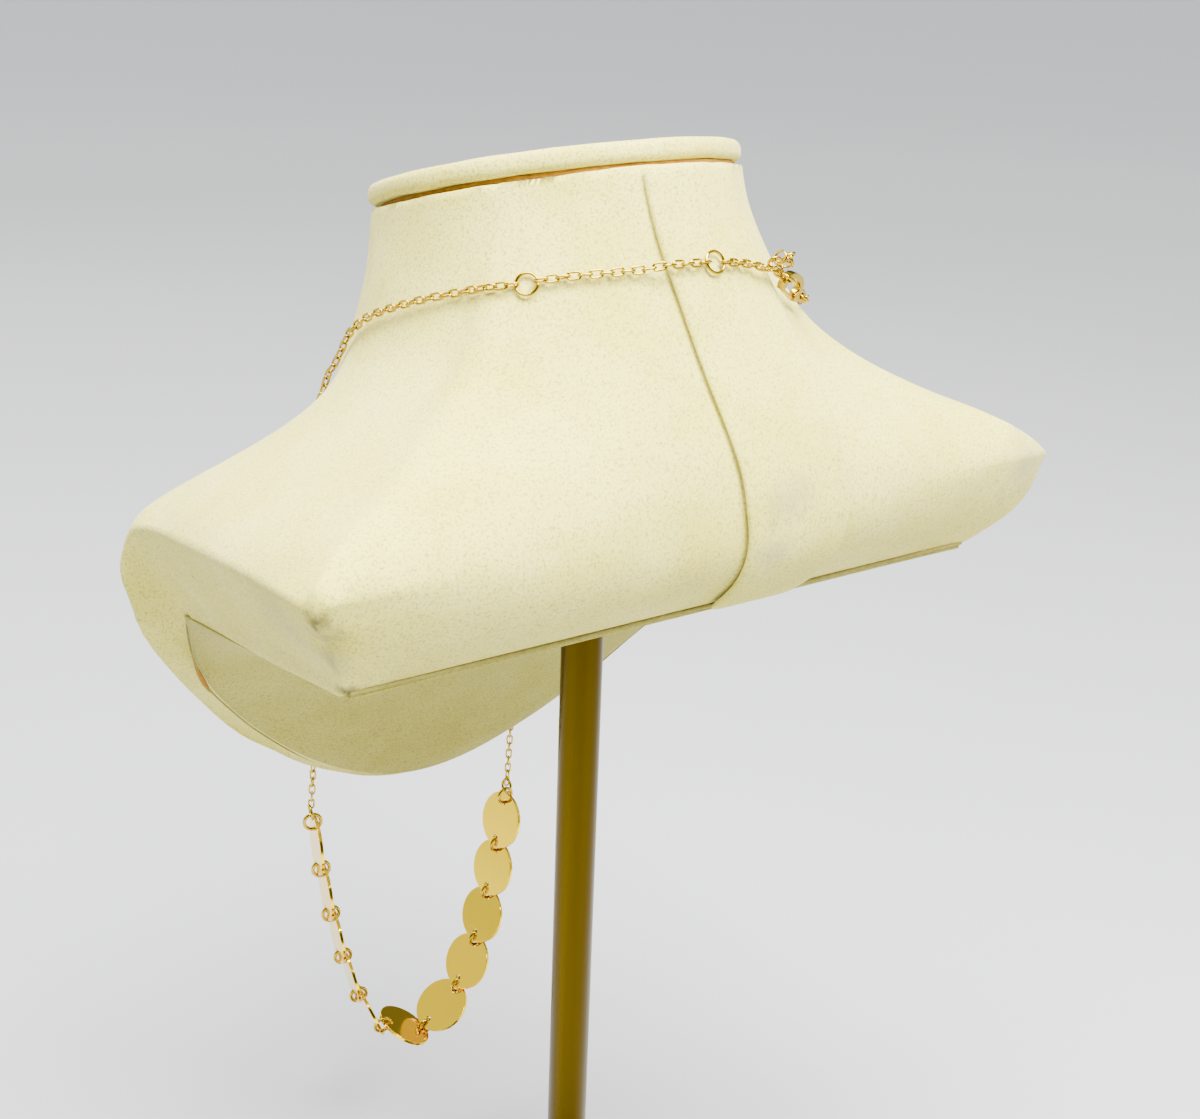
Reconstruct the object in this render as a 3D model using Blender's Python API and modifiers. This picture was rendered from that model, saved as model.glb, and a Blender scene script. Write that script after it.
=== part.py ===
# Disc pendant necklace resting on a padded neck bust with a pole and a round foot.
# Lengths below are in millimetres and are turned into metres where a shape is made.
# The origin is the centre of the foot's underside. +Z is up and the chest faces -Y.

import bpy
import bmesh
import math
from mathutils import Vector, Matrix

MM = 0.001
NAME = "disc_necklace_on_bust"

# Stand
POLE_DIA = 9.5
BASE_DIA = 110.0
BASE_THICK = 8.0
BASE_CHAMFER = 1.2
SEAM_HEIGHT = 220.0       # height of the bust's lower back seam above the floor
SOCKET_CLEAR = 0.4        # radial play of the pole in its socket
SOCKET_SHARE = 0.375      # thickness of the foot that is left under the pole
SOCKET_DEPTH = 42.0       # how far the pole runs up above the lower back seam
FIT_GAP = 0.3             # gap between pieces that touch

# Bust, measured from the pole's axis and from the lower back seam
NECK_R = 39.2
NECK_SQUASH = 0.98        # depth of the neck over its width
NECK_BACK_SET = -14.6     # neck's centre in front of the pole
NECK_HEIGHT = 75.6
NECK_TILT = 15.8          # degrees that the neck's top leans to the front
HALF_WIDTH = 89.1
BACK_REACH = 50.4
FRONT_REACH = 77.0
CHEST_DROP = 90.5
SKIRT_HEIGHT = 22.4       # height of the bust's back edge above the seam

CAP_THICK = 4.3
CAP_OVER = 0.2
CAP_GAP = 1.0
CAP_ROUND = 1.7
CAP_SPACER_IN = 6.8       # how far the spacer's edge lies inside the cap's
BAND_THICK = 1.6
PANEL_THICK = 1.3
PANEL_INSET = 0.6

# Necklace
DISC_DIA = 15.8
DISC_THICK = 0.9
DISC_COUNT = 11
DISC_PITCH = 14.9         # jump ring to jump ring
DISC_LEAN = 7.0           # degrees that each disc leans off the strand, one end in front
HOLE_DIA = 2.1
TWIST_NEAR = 15.0         # degrees that the discs turn about the strand, at its two ends
TWIST_FAR = 5.0
LOWEST_DISC = 6           # its centre is at LOOP_AT
LOOP_AT = (6.4, -73.0, -168.3)
LOOP_SPAN = 10.9          # size of the hanging loop's curve
LOOP_SHIFT = 4.6          # how far the row is drawn to the near side
RING_R = 2.18             # radii are to the middle of the wire
RING_WIRE = 0.85
END_RING_R = 1.85
END_RING_WIRE = 0.65
EXT_RING_R = 2.15
EXT_RING_WIRE = 0.65
EXT_RING_LIFT = 1.0
CHAIN_WIDTH = 1.8
CHAIN_LIFT = 1.35         # chain's middle above the suede
CHAIN_SAG = 0.12          # how far the tube's straight runs may cut a bend
CHAIN_STEP = 7.2

CLASP_LENGTH = 11.0
CLASP_WIDTH = 5.4
CLASP_THICK = 1.6
CLASP_LIFT = 2.55
CLASP_TURN = 40.0         # degrees that the clasp stands up off the suede
CLASP_HOLE_DIA = 1.5
CLASP_LUG_DIA = 2.7
CLASP_RING_R = 2.0
CLASP_RING_WIRE = 0.65
TAIL_RING_R = 1.75
TAIL_RING_WIRE = 0.5
LEVER_WIDTH = 0.8
LEVER_THICK = 1.0
LOOSE_LINKS = 5           # the loose links bunched at the clasp
LOOSE_R = 1.05
LOOSE_WIRE = 0.65
LOOSE_CURL = 1.75         # size of the bunch
LOOSE_RISE = 4.0          # its middle above the clasp ring


def rad(deg):
    return math.radians(deg)


def lerp(a, b, t):
    return a + (b - a) * t


def material(name, color, rough, metal):
    mat = bpy.data.materials.new(name)
    mat.use_nodes = True
    shader = mat.node_tree.nodes["Principled BSDF"]
    shader.inputs["Base Color"].default_value = (*color, 1.0)
    shader.inputs["Roughness"].default_value = rough
    shader.inputs["Metallic"].default_value = metal
    return mat


# Rim of the bust seen from above the shoulder, from the middle of the back to the chest's tip.
# Each row: neck angle in degrees, then the shoulder edge and the panel edge as shares.
# x is a share of HALF_WIDTH, y of BACK_REACH behind the pole or of FRONT_REACH in front of it,
# z of SKIRT_HEIGHT above the seam or of CHEST_DROP below it.
RIM_TABLE = (
    # angle, edge x, y, z, panel x, y, z, back share, front share, edge fullness
    (90.0, 0.000, 1.000, 1.00, 0.000, 0.764, 0.000, 1.0, 0.0, 1.00),
    (80.0, 0.200, 1.000, 1.00, 0.174, 0.764, 0.000, 1.0, 0.0, 1.00),
    (71.0, 0.400, 0.996, 1.00, 0.347, 0.764, 0.000, 0.8, 0.0, 0.95),
    (62.0, 0.600, 0.988, 1.00, 0.521, 0.764, 0.000, 0.5, 0.0, 0.80),
    (54.0, 0.790, 0.980, 1.00, 0.690, 0.764, 0.000, 0.3, 0.0, 0.55),
    (47.0, 0.940, 0.975, 1.00, 0.820, 0.764, 0.000, 0.2, 0.0, 0.25),
    (41.0, 1.002, 0.960, 0.99, 0.868, 0.764, 0.000, 0.1, 0.0, 0.12),
    (36.0, 1.005, 0.850, 0.96, 0.867, 0.650, -0.006, 0.0, 0.0, 0.12),
    (27.0, 1.005, 0.560, 0.92, 0.866, 0.370, -0.035, 0.0, 0.0, 0.15),
    (17.0, 1.004, 0.220, 0.84, 0.864, 0.060, -0.065, 0.0, 0.0, 0.15),
    (8.0, 1.004, -0.090, 0.73, 0.861, -0.200, -0.093, 0.0, 0.0, 0.15),
    (0.0, 1.002, -0.290, 0.62, 0.858, -0.380, -0.117, 0.0, 0.0, 0.15),
    (-6.0, 1.000, -0.430, 0.48, 0.855, -0.500, -0.135, 0.0, 0.0, 0.15),
    (-12.0, 1.012, -0.480, 0.16, 0.850, -0.498, -0.160, 0.0, 0.0, 0.05),
    (-18.0, 1.008, -0.512, -0.045, 0.842, -0.518, -0.194, 0.0, 0.05, 0.00),
    (-24.0, 0.983, -0.538, -0.133, 0.830, -0.545, -0.238, 0.0, 0.10, 0.05),
    (-30.0, 0.930, -0.588, -0.224, 0.813, -0.570, -0.294, 0.0, 0.20, 0.00),
    (-37.0, 0.848, -0.655, -0.352, 0.770, -0.612, -0.390, 0.0, 0.32, 0.05),
    (-44.0, 0.744, -0.731, -0.490, 0.693, -0.668, -0.496, 0.0, 0.46, 0.20),
    (-51.0, 0.653, -0.787, -0.607, 0.612, -0.734, -0.591, 0.0, 0.60, 0.30),
    (-59.0, 0.519, -0.862, -0.738, 0.488, -0.799, -0.713, 0.0, 0.75, 0.30),
    (-66.0, 0.407, -0.910, -0.829, 0.387, -0.838, -0.796, 0.0, 0.88, 0.30),
    (-74.0, 0.276, -0.956, -0.912, 0.264, -0.883, -0.873, 0.0, 0.96, 0.30),
    (-82.0, 0.139, -0.987, -0.976, 0.135, -0.916, -0.934, 0.0, 1.0, 0.30),
    (-90.0, 0.000, -1.000, -1.000, 0.000, -0.929, -0.956, 0.0, 1.0, 0.30),
)

# How the surface runs from the neck's top to the shoulder's edge.
# Each row: share of the way down, then how far out it is over the side, the back and the front.
FALL_TABLE = (
    # down, side out, back out, front out
    (0.000, 0.000, 0.000, 0.000),
    (0.100, 0.012, 0.060, 0.040),
    (0.200, 0.036, 0.150, 0.120),
    (0.300, 0.068, 0.260, 0.260),
    (0.400, 0.108, 0.380, 0.430),
    (0.500, 0.162, 0.500, 0.600),
    (0.600, 0.258, 0.630, 0.740),
    (0.700, 0.415, 0.770, 0.840),
    (0.780, 0.595, 0.870, 0.905),
    (0.860, 0.805, 0.945, 0.955),
    (0.930, 0.940, 0.985, 0.985),
    (1.000, 1.000, 1.000, 1.000),
)
SKIRT_STEPS = (0.12, 0.30, 0.52, 0.76)
SKIRT_BULGE = 4.6
SIDE_BACK = 41.0          # neck angles of the shoulder end's two corners
SIDE_FRONT = -6.0
SKIRT_ASIDE = 0.25        # how much of the skirt's bulge points to the side
HOLLOW = 2.7              # how far the underside stays level before it drops to the chest
HOLLOW_START = -0.135     # share of the chest's drop at which the hollow starts
HOLLOW_RUN = 0.35         # and the further drop over which it reaches its full depth

# The strip over the back seam. Each row: way down, then the neck angles of its two edges.
BAND_TABLE = (
    (0.00, 81.2, 117.5),
    (0.42, 87.2, 113.0),
    (0.85, 90.5, 105.3),
    (1.00, 91.1, 105.3),
    (2.00, 91.8, 105.5),
)
BAND_STEPS = 5


def tableAt(table, key, column):
    """Smooth value of one column where the first column equals key."""
    xs = [row[0] for row in table]
    rows = table
    if xs[0] > xs[-1]:
        rows = table[::-1]
        xs = xs[::-1]
    i = 0
    while i < len(xs) - 2 and key > xs[i + 1]:
        i += 1
    t = (key - xs[i]) / (xs[i + 1] - xs[i])
    t = min(max(t, 0.0), 1.0)
    return lerp(rows[i][column], rows[i + 1][column], t)


def shareY(share):
    return share * (BACK_REACH if share > 0 else FRONT_REACH)


def shareZ(share):
    return share * (SKIRT_HEIGHT if share > 0 else CHEST_DROP)


def neckPoint(angle, drop=0.0, grow=0.0):
    """Point of the neck's top ring, lowered along the neck and grown outward."""
    a = rad(angle)
    across = (NECK_R + grow) * math.cos(a)
    along = (NECK_R + grow) * NECK_SQUASH * math.sin(a)
    tilt = rad(NECK_TILT)
    x = across
    y = NECK_BACK_SET + along * math.cos(tilt) + drop * math.sin(tilt)
    z = NECK_HEIGHT + along * math.sin(tilt) - drop * math.cos(tilt)
    return Vector((x, y, z))


def bustPoint(angle, down):
    """Point of the bust's cover: down 0..1 runs neck to shoulder edge, 1..2 on to the panel."""
    side = 1.0
    a = (angle + 180.0) % 360.0 - 180.0
    if abs(a) > 90.0:
        side = -1.0
        a = (180.0 - a if a > 0 else -180.0 - a)
    row = [tableAt(RIM_TABLE, a, c) for c in range(10)]
    edge = Vector((row[1] * HALF_WIDTH, shareY(row[2]), shareZ(row[3])))
    foot = Vector((row[4] * HALF_WIDTH, shareY(row[5]), shareZ(row[6])))
    top = neckPoint(a)
    if down <= 1.0:
        g = down
        sideOut = tableAt(FALL_TABLE, g, 1)
        backOut = tableAt(FALL_TABLE, g, 2)
        frontOut = tableAt(FALL_TABLE, g, 3)
        out = sideOut + (backOut - sideOut) * row[7] + (frontOut - sideOut) * row[8]
        point = Vector((lerp(top.x, edge.x, out), lerp(top.y, edge.y, out), lerp(top.z, edge.z, g)))
    else:
        s = down - 1.0
        away = Vector((edge.x * SKIRT_ASIDE, edge.y, 0.0)).normalized()
        point = edge.lerp(foot, s) + away * (SKIRT_BULGE * row[9] * math.sin(math.pi * s))
    point.x *= side
    return point


def world(p):
    return Vector((p.x, p.y, p.z + SEAM_HEIGHT)) * MM


def meshObject(name, verts, faces, mat, coll, smooth=True):
    mesh = bpy.data.meshes.new(name)
    mesh.from_pydata([tuple(v) for v in verts], [], faces)
    bm = bmesh.new()
    bm.from_mesh(mesh)
    bmesh.ops.remove_doubles(bm, verts=bm.verts, dist=1e-6)
    bmesh.ops.recalc_face_normals(bm, faces=bm.faces)
    if bm.calc_volume(signed=True) < 0:
        bmesh.ops.reverse_faces(bm, faces=bm.faces)
    bm.to_mesh(mesh)
    bm.free()
    obj = bpy.data.objects.new(name, mesh)
    coll.objects.link(obj)
    obj.data.materials.append(mat)
    if smooth:
        for poly in mesh.polygons:
            poly.use_smooth = True
        mesh.set_sharp_from_angle(angle=rad(50))
    return obj


for old in list(bpy.data.objects):
    bpy.data.objects.remove(old)
parts = bpy.data.collections.new(NAME)
bpy.context.scene.collection.children.link(parts)
cutters = bpy.data.collections.new("cutters")
bpy.context.scene.collection.children.link(cutters)

suede = material("suede", (0.80, 0.76, 0.55), 0.95, 0.0)
brass = material("brushed_brass", (0.45, 0.31, 0.07), 0.38, 1.0)
gold = material("gold_plate", (0.90, 0.66, 0.20), 0.18, 1.0)


def frontShares():
    """How far along the chest's rim each front column lies, from its tip to the shoulder."""
    feet = [bustPoint(row[0], 2.0) for row in RIM_TABLE if row[0] <= SIDE_FRONT][::-1]
    run = [0.0]
    for i in range(1, len(feet)):
        run.append(run[-1] + (feet[i] - feet[i - 1]).length)
    return [length / run[-1] for length in run][::-1]


def ringAngles():
    """Neck angles of the loft's columns, so the underside's boards run straight back."""
    front = [row[0] for row in RIM_TABLE if row[0] <= SIDE_FRONT]
    sides = [row[0] for row in RIM_TABLE if SIDE_FRONT < row[0] < SIDE_BACK]
    backRows = [row for row in RIM_TABLE if row[0] >= SIDE_BACK]
    back = []
    for frontShare in frontShares():
        share = frontShare * backRows[-1][4]
        i = 0
        while i < len(backRows) - 2 and share > backRows[i + 1][4]:
            i += 1
        t = (share - backRows[i][4]) / (backRows[i + 1][4] - backRows[i][4])
        back.append(lerp(backRows[i][0], backRows[i + 1][0], min(t, 1.0)))
    right = back[::-1] + sides + front
    left = [180.0 - a for a in reversed(right)]
    return right + left[1:-1]


def undersideGrid():
    """Rows from the back seam to the chest's rim, each row from +X to -X."""
    front = [row[0] for row in RIM_TABLE if row[0] <= SIDE_FRONT]
    front = front + [180.0 - a for a in reversed(front[:-1])]
    sides = [row[0] for row in RIM_TABLE if SIDE_FRONT <= row[0] <= SIDE_BACK]
    seam = [bustPoint(a, 2.0) for a in sides]
    reach = seam[-1].y - seam[0].y
    ends = [bustPoint(a, 2.0) for a in front]
    shares = frontShares()
    shares = shares + [-share for share in reversed(shares[:-1])]
    grid = []
    for p in seam:
        s = (p.y - seam[0].y) / reach
        row = []
        for end, share in zip(ends, shares):
            back = Vector((seam[0].x * share, seam[0].y, seam[0].z))
            deep = min(max((HOLLOW_START - end.z / CHEST_DROP) / HOLLOW_RUN, 0.0), 1.0)
            power = lerp(1.0, HOLLOW, deep)
            row.append(Vector((lerp(back.x, end.x, s), lerp(back.y, end.y, s),
                               lerp(back.z, end.z, s ** power))))
        grid.append(row)
    for k, p in enumerate(seam):
        grid[k][0] = p.copy()
        grid[k][-1] = Vector((-p.x, p.y, p.z))
    return grid


def gridLoop(rows, cols):
    """Grid places round its edge, in the order of ringAngles."""
    mid = cols // 2
    loop = [(0, j) for j in range(mid, 0, -1)]
    loop += [(k, 0) for k in range(rows - 1)]
    loop += [(rows - 1, j) for j in range(cols - 1)]
    loop += [(k, cols - 1) for k in range(rows - 1, 0, -1)]
    loop += [(0, j) for j in range(cols - 1, mid, -1)]
    return loop


NEAR_ANGLE = 0.4          # steps over which the cover's slope is taken
NEAR_DOWN = 0.004


def bustNormal(angle, down):
    """Outward direction of the bust's cover."""
    du = bustPoint(angle + NEAR_ANGLE, down) - bustPoint(angle - NEAR_ANGLE, down)
    dv = bustPoint(angle, min(down + NEAR_DOWN, 2.0)) - bustPoint(angle, max(down - NEAR_DOWN, 0.0))
    return dv.cross(du).normalized()


def onBust(angle, down, lift):
    return bustPoint(angle, down) + bustNormal(angle, down) * lift


def makeBust():
    angles = ringAngles()
    n = len(angles)
    downs = [row[0] for row in FALL_TABLE] + [1.0 + s for s in SKIRT_STEPS]
    verts = [world(bustPoint(a, d)) for d in downs for a in angles]
    faces = [(k * n + i, k * n + (i + 1) % n, (k + 1) * n + (i + 1) % n, (k + 1) * n + i)
             for k in range(len(downs) - 1) for i in range(n)]
    faces.append(tuple(range(n)))
    grid = undersideGrid()
    rows = len(grid)
    cols = len(grid[0])
    base = len(verts)
    verts += [world(p) for row in grid for p in row]
    loop = [base + k * cols + j for k, j in gridLoop(rows, cols)]
    last = (len(downs) - 1) * n
    faces += [(last + i, last + (i + 1) % n, loop[(i + 1) % n], loop[i]) for i in range(n)]
    faces += [(base + k * cols + j, base + k * cols + j + 1,
               base + (k + 1) * cols + j + 1, base + (k + 1) * cols + j)
              for k in range(rows - 1) for j in range(cols - 1)]
    return meshObject("bust_body", verts, faces, suede, parts)


def sheetSolid(name, grid, gap, thick, mat, inset=0.0):
    """Closed sheet that follows a grid of points, set off it on the side away from the bust."""
    rows = len(grid)
    cols = len(grid[0])
    inner = []
    outer = []
    for k in range(rows):
        for j in range(cols):
            across = grid[k][min(j + 1, cols - 1)] - grid[k][max(j - 1, 0)]
            along = grid[min(k + 1, rows - 1)][j] - grid[max(k - 1, 0)][j]
            normal = along.cross(across).normalized()
            p = grid[k][j].copy()
            if inset:
                p += across.normalized() * (inset if j == 0 else -inset if j == cols - 1 else 0.0)
                p += along.normalized() * (inset if k == 0 else -inset if k == rows - 1 else 0.0)
            inner.append(world(p + normal * gap))
            outer.append(world(p + normal * (gap + thick)))
    verts = inner + outer
    m = rows * cols
    faces = []
    for k in range(rows - 1):
        for j in range(cols - 1):
            q = (k * cols + j, k * cols + j + 1, (k + 1) * cols + j + 1, (k + 1) * cols + j)
            faces.append(q)
            faces.append(tuple(i + m for i in reversed(q)))
    edge = [j for j in range(cols)]
    edge += [k * cols + cols - 1 for k in range(1, rows)]
    edge += [(rows - 1) * cols + j for j in range(cols - 2, -1, -1)]
    edge += [k * cols for k in range(rows - 2, 0, -1)]
    for i in range(len(edge)):
        a = edge[i]
        b = edge[(i + 1) % len(edge)]
        faces.append((a, b, b + m, a + m))
    return meshObject(name, verts, faces, mat, parts)


def makeBand():
    downs = [row[0] for row in FALL_TABLE] + [1.0 + s for s in SKIRT_STEPS] + [2.0]
    grid = []
    for d in downs:
        left = tableAt(BAND_TABLE, d, 1)
        right = tableAt(BAND_TABLE, d, 2)
        grid.append([bustPoint(lerp(left, right, j / BAND_STEPS), d) for j in range(BAND_STEPS + 1)])
    return sheetSolid("back_band", grid, FIT_GAP, BAND_THICK, suede)


bust = makeBust()
panel = sheetSolid("underside_panel", undersideGrid(), FIT_GAP, PANEL_THICK, suede, PANEL_INSET)
band = makeBand()


def placed(at, xAxis, yAxis, zAxis):
    """World matrix of a piece at a point of the bust's frame."""
    turn = Matrix((xAxis, yAxis, zAxis)).transposed().to_4x4()
    return Matrix.Translation(world(at)) @ turn


def hasMesh(name, mesh, mat, matrix, coll=parts):
    obj = bpy.data.objects.new(name, mesh)
    obj.matrix_world = matrix
    coll.objects.link(obj)
    if not mesh.materials:
        mesh.materials.append(mat)
    return obj


def cylinderMesh(name, radius, low, high, sides=32):
    mesh = bpy.data.meshes.new(name)
    bm = bmesh.new()
    bmesh.ops.create_cone(bm, cap_ends=True, segments=sides, radius1=radius * MM, radius2=radius * MM,
                          depth=(high - low) * MM)
    bmesh.ops.translate(bm, verts=bm.verts, vec=(0, 0, (low + high) / 2 * MM))
    bm.to_mesh(mesh)
    bm.free()
    mesh.shade_smooth()
    mesh.set_sharp_from_angle(angle=rad(40))
    return mesh


def turned(name, profile, mat, matrix, steps=48):
    """Solid turned round Z from a profile that runs from its top to its bottom."""
    mesh = bpy.data.meshes.new(name)
    verts = [(r * MM, 0, z * MM) for r, z in profile]
    mesh.from_pydata(verts, [(i, i + 1) for i in range(len(verts) - 1)], [])
    obj = hasMesh(name, mesh, mat, matrix)
    screw = obj.modifiers.new("turn", "SCREW")
    screw.steps = steps
    screw.render_steps = steps
    screw.use_merge_vertices = True
    screw.merge_threshold = 0.00001
    return obj


def cut(target, cutter):
    boolean = target.modifiers.new("cut", "BOOLEAN")
    boolean.operation = "DIFFERENCE"
    boolean.solver = "EXACT"
    boolean.object = cutter


# Pole, foot and the socket in the bust
recess = BASE_THICK * SOCKET_SHARE
poleTop = SEAM_HEIGHT + SOCKET_DEPTH
socketR = POLE_DIA / 2 + SOCKET_CLEAR
hasMesh("pole", cylinderMesh("pole", POLE_DIA / 2, recess + FIT_GAP, poleTop), brass, Matrix())
edge = BASE_CHAMFER / 2
turned("base_plate", (
    (0.0, recess),
    (socketR, recess),
    (socketR, BASE_THICK),
    (BASE_DIA / 2 - BASE_CHAMFER, BASE_THICK),
    (BASE_DIA / 2, BASE_THICK - BASE_CHAMFER),
    (BASE_DIA / 2, edge),
    (BASE_DIA / 2 - edge, 0.0),
    (0.0, 0.0),
), brass, Matrix())
socket = hasMesh("socket", cylinderMesh("socket", socketR, SEAM_HEIGHT - CHEST_DROP, poleTop + FIT_GAP),
                 suede, Matrix(), cutters)
socket.hide_render = True
socket.display_type = "WIRE"
cut(bust, socket)
cut(panel, socket)


def makeCap():
    """Padded disc on the neck, with a smaller spacer that leaves a dark line under its edge."""
    r = NECK_R + CAP_OVER
    low = CAP_GAP
    high = CAP_GAP + CAP_THICK
    arc = 4
    profile = [(0.0, high)]
    for k in range(arc + 1):
        a = rad(90.0 - 90.0 * k / arc)
        profile.append((r - CAP_ROUND + CAP_ROUND * math.cos(a), high - CAP_ROUND + CAP_ROUND * math.sin(a)))
    for k in range(arc + 1):
        a = rad(-90.0 * k / arc)
        profile.append((r - CAP_ROUND + CAP_ROUND * math.cos(a), low + CAP_ROUND + CAP_ROUND * math.sin(a)))
    spacer = r - CAP_SPACER_IN
    profile += [(spacer, low), (spacer, FIT_GAP), (0.0, FIT_GAP)]
    tilt = Matrix.Rotation(rad(NECK_TILT), 4, "X")
    squash = Matrix.Diagonal((1.0, NECK_SQUASH, 1.0, 1.0))
    middle = Vector((0.0, NECK_BACK_SET, NECK_HEIGHT))
    return turned("neck_cap", profile, suede, Matrix.Translation(world(middle)) @ tilt @ squash)


makeCap()


def circle(spline, r, x, y, count):
    spline.points.add(count - 1)
    for k in range(count):
        a = 2 * math.pi * k / count
        spline.points[k].co = ((x + r * math.cos(a)) * MM, (y + r * math.sin(a)) * MM, 0, 1)
    spline.use_cyclic_u = True


def flatCurve(name, thick):
    curve = bpy.data.curves.new(name, "CURVE")
    curve.dimensions = "2D"
    curve.fill_mode = "BOTH"
    curve.extrude = thick / 2 * MM
    return curve


def torusMesh(name, r, wire, major=14, minor=6):
    bpy.ops.mesh.primitive_torus_add(major_segments=major, minor_segments=minor,
                                     major_radius=r * MM, minor_radius=wire / 2 * MM)
    obj = bpy.context.object
    mesh = obj.data
    bpy.data.objects.remove(obj)
    mesh.name = name
    mesh.shade_smooth()
    mesh.materials.append(gold)
    return mesh


# The hanging row. Discs hang like a chain of equal heavy links, so the slope grows in equal steps.
ringSet = DISC_PITCH / 2 * math.sin(rad(DISC_LEAN))      # ring's middle off each disc's plane
holeAt = DISC_PITCH / 2 * math.cos(rad(DISC_LEAN)) - math.sqrt(RING_R ** 2 - ringSet ** 2)


def rowDirection(i):
    """Strand's direction at disc i, from the near side to the far side."""
    slope = (LOWEST_DISC - i) * DISC_PITCH + LOOP_SHIFT
    return Vector((-LOOP_SPAN, 0.0, -slope)).normalized()


def discAxes(i):
    """Along, across and out of disc i, before it leans."""
    u = rowDirection(i)
    level = Vector((0.0, 1.0, 0.0))
    twist = rad(lerp(TWIST_NEAR, TWIST_FAR, (i - 1) / (DISC_COUNT - 1)))
    across = level * math.cos(twist) + u.cross(level) * math.sin(twist)
    return u, across, u.cross(across)


def rowRings():
    """Middles of the jump rings, from the near end to the far end."""
    middle = Vector(LOOP_AT) - rowDirection(LOWEST_DISC) * (DISC_PITCH / 2)
    rings = [middle]
    for i in range(LOWEST_DISC, DISC_COUNT + 1):
        rings.append(rings[-1] + rowDirection(i) * DISC_PITCH)
    for i in range(LOWEST_DISC - 1, 0, -1):
        rings.insert(0, rings[0] - rowDirection(i) * DISC_PITCH)
    return rings


def makeRow():
    curve = flatCurve("disc", DISC_THICK)
    circle(curve.splines.new("POLY"), DISC_DIA / 2, 0, 0, 36)
    circle(curve.splines.new("POLY"), HOLE_DIA / 2, 0, holeAt, 10)
    circle(curve.splines.new("POLY"), HOLE_DIA / 2, 0, -holeAt, 10)
    curve.materials.append(gold)
    ringMesh = torusMesh("jump_ring", RING_R, RING_WIRE)
    rings = rowRings()
    lean = rad(DISC_LEAN)
    for i in range(1, DISC_COUNT + 1):
        u, across, out = discAxes(i)
        along = u * math.cos(lean) + out * math.sin(lean)
        disc = bpy.data.objects.new(f"disc_{i:02d}", curve)
        disc.matrix_world = placed((rings[i - 1] + rings[i]) / 2, across, along, across.cross(along))
        parts.objects.link(disc)
    for i, at in enumerate(rings):
        u, across, out = discAxes(max(i, 1))
        u2, across2, out2 = discAxes(min(i + 1, DISC_COUNT))
        axis = (across + across2).normalized()
        along = (u + u2).normalized()
        side = axis.cross(along).normalized()
        hasMesh(f"jump_ring_{i + 1:02d}", ringMesh, gold, placed(at, side.cross(axis), side, axis))
    return rings


rings = makeRow()

# The chain's last rings, pulled against the row's first and last jump rings
endReach = RING_R + END_RING_R - (RING_WIRE + END_RING_WIRE) / 2 - FIT_GAP
endNear = rings[0] - rowDirection(1) * endReach
endFar = rings[-1] + rowDirection(DISC_COUNT) * endReach
endMesh = torusMesh("end_ring", END_RING_R, END_RING_WIRE)
for name, at, i in (("end_ring_near", endNear, 1), ("end_ring_far", endFar, DISC_COUNT)):
    u, across, out = discAxes(i)
    hasMesh(name, endMesh, gold, placed(at, u, across, out))

# The chain's way round the bust, as neck angle and way down
NEAR_ROUTE = (
    (54.4, 0.310),
    (47.8, 0.314),
    (32.1, 0.329),
    (17.2, 0.348),
    (3.8, 0.370),
    (-7.0, 0.415),
    (-15.2, 0.471),
    (-22.5, 0.510),
    (-31.0, 0.545),
    (-43.0, 0.614),
    (-52.5, 0.705),
    (-59.5, 0.808),
    (-65.5, 0.918),
    (-69.0, 1.0),
)
EXTENDER_ROUTE = (
    (54.4, 0.310),
    (62.2, 0.296),
    (79.3, 0.289),
    (96.0, 0.294),
)
CLASP_ROUTE = (
    (96.0, 0.294),
    (105.0, 0.322),
    (112.5, 0.382),
)
FAR_ROUTE = (
    (126.5, 0.482),
    (138.0, 0.480),
    (150.0, 0.468),
    (166.0, 0.490),
    (179.0, 0.548),
    (192.0, 0.579),
    (207.6, 0.562),
    (218.6, 0.577),
    (227.0, 0.612),
    (233.5, 0.666),
    (238.5, 0.733),
    (242.8, 0.807),
    (246.5, 0.884),
    (250.3, 0.961),
    (251.6, 1.0),
)
BAND_RAMP = 5.0           # degrees over which the chain climbs on to the band


def bandLift(angle, down):
    """Extra height where the chain crosses the strip."""
    left = tableAt(BAND_TABLE, down, 1) - 1.0
    right = tableAt(BAND_TABLE, down, 2) + 1.0
    a = angle % 360.0
    t = min((a - left) / BAND_RAMP, (right - a) / BAND_RAMP) + 1.0
    t = min(max(t, 0.0), 1.0)
    return (FIT_GAP + BAND_THICK) * t * t * (3 - 2 * t)


def overBust(angle, down, lift):
    return onBust(angle, down, lift + bandLift(angle, down))


def catmull(rows, i, t):
    p = [rows[min(max(i + k, 0), len(rows) - 1)] for k in (-1, 0, 1, 2)]
    return [0.5 * (2 * b + (c - a) * t + (2 * a - 5 * b + 4 * c - d) * t * t
                   + (3 * b - a - 3 * c + d) * t ** 3) for a, b, c, d in zip(*p)]


def routePath(route, steps=16):
    """Close points of a route laid on the bust."""
    path = []
    for i in range(len(route) - 1):
        for k in range(steps):
            angle, down = catmull(route, i, k / steps)
            path.append(overBust(angle, min(down, 1.0), CHAIN_LIFT))
    path.append(overBust(*route[-1], CHAIN_LIFT))
    return path


def eased(path, times=2):
    """The same path with its corners softened and its ends kept."""
    for _ in range(times):
        inner = [(path[i - 1] + path[i] * 2 + path[i + 1]) / 4 for i in range(1, len(path) - 1)]
        path = [path[0]] + inner + [path[-1]]
    return path


def cutBack(path, reach):
    """Path without the stretch that lies within reach of its first point."""
    start = path[0]
    i = 1
    while (path[i] - start).length < reach:
        i += 1
    inside = path[i - 1]
    step = path[i] - inside
    low = 0.0
    high = 1.0
    for _ in range(24):
        t = (low + high) / 2
        if (inside + step * t - start).length < reach:
            low = t
        else:
            high = t
    return [inside + step * high] + path[i:]


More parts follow.
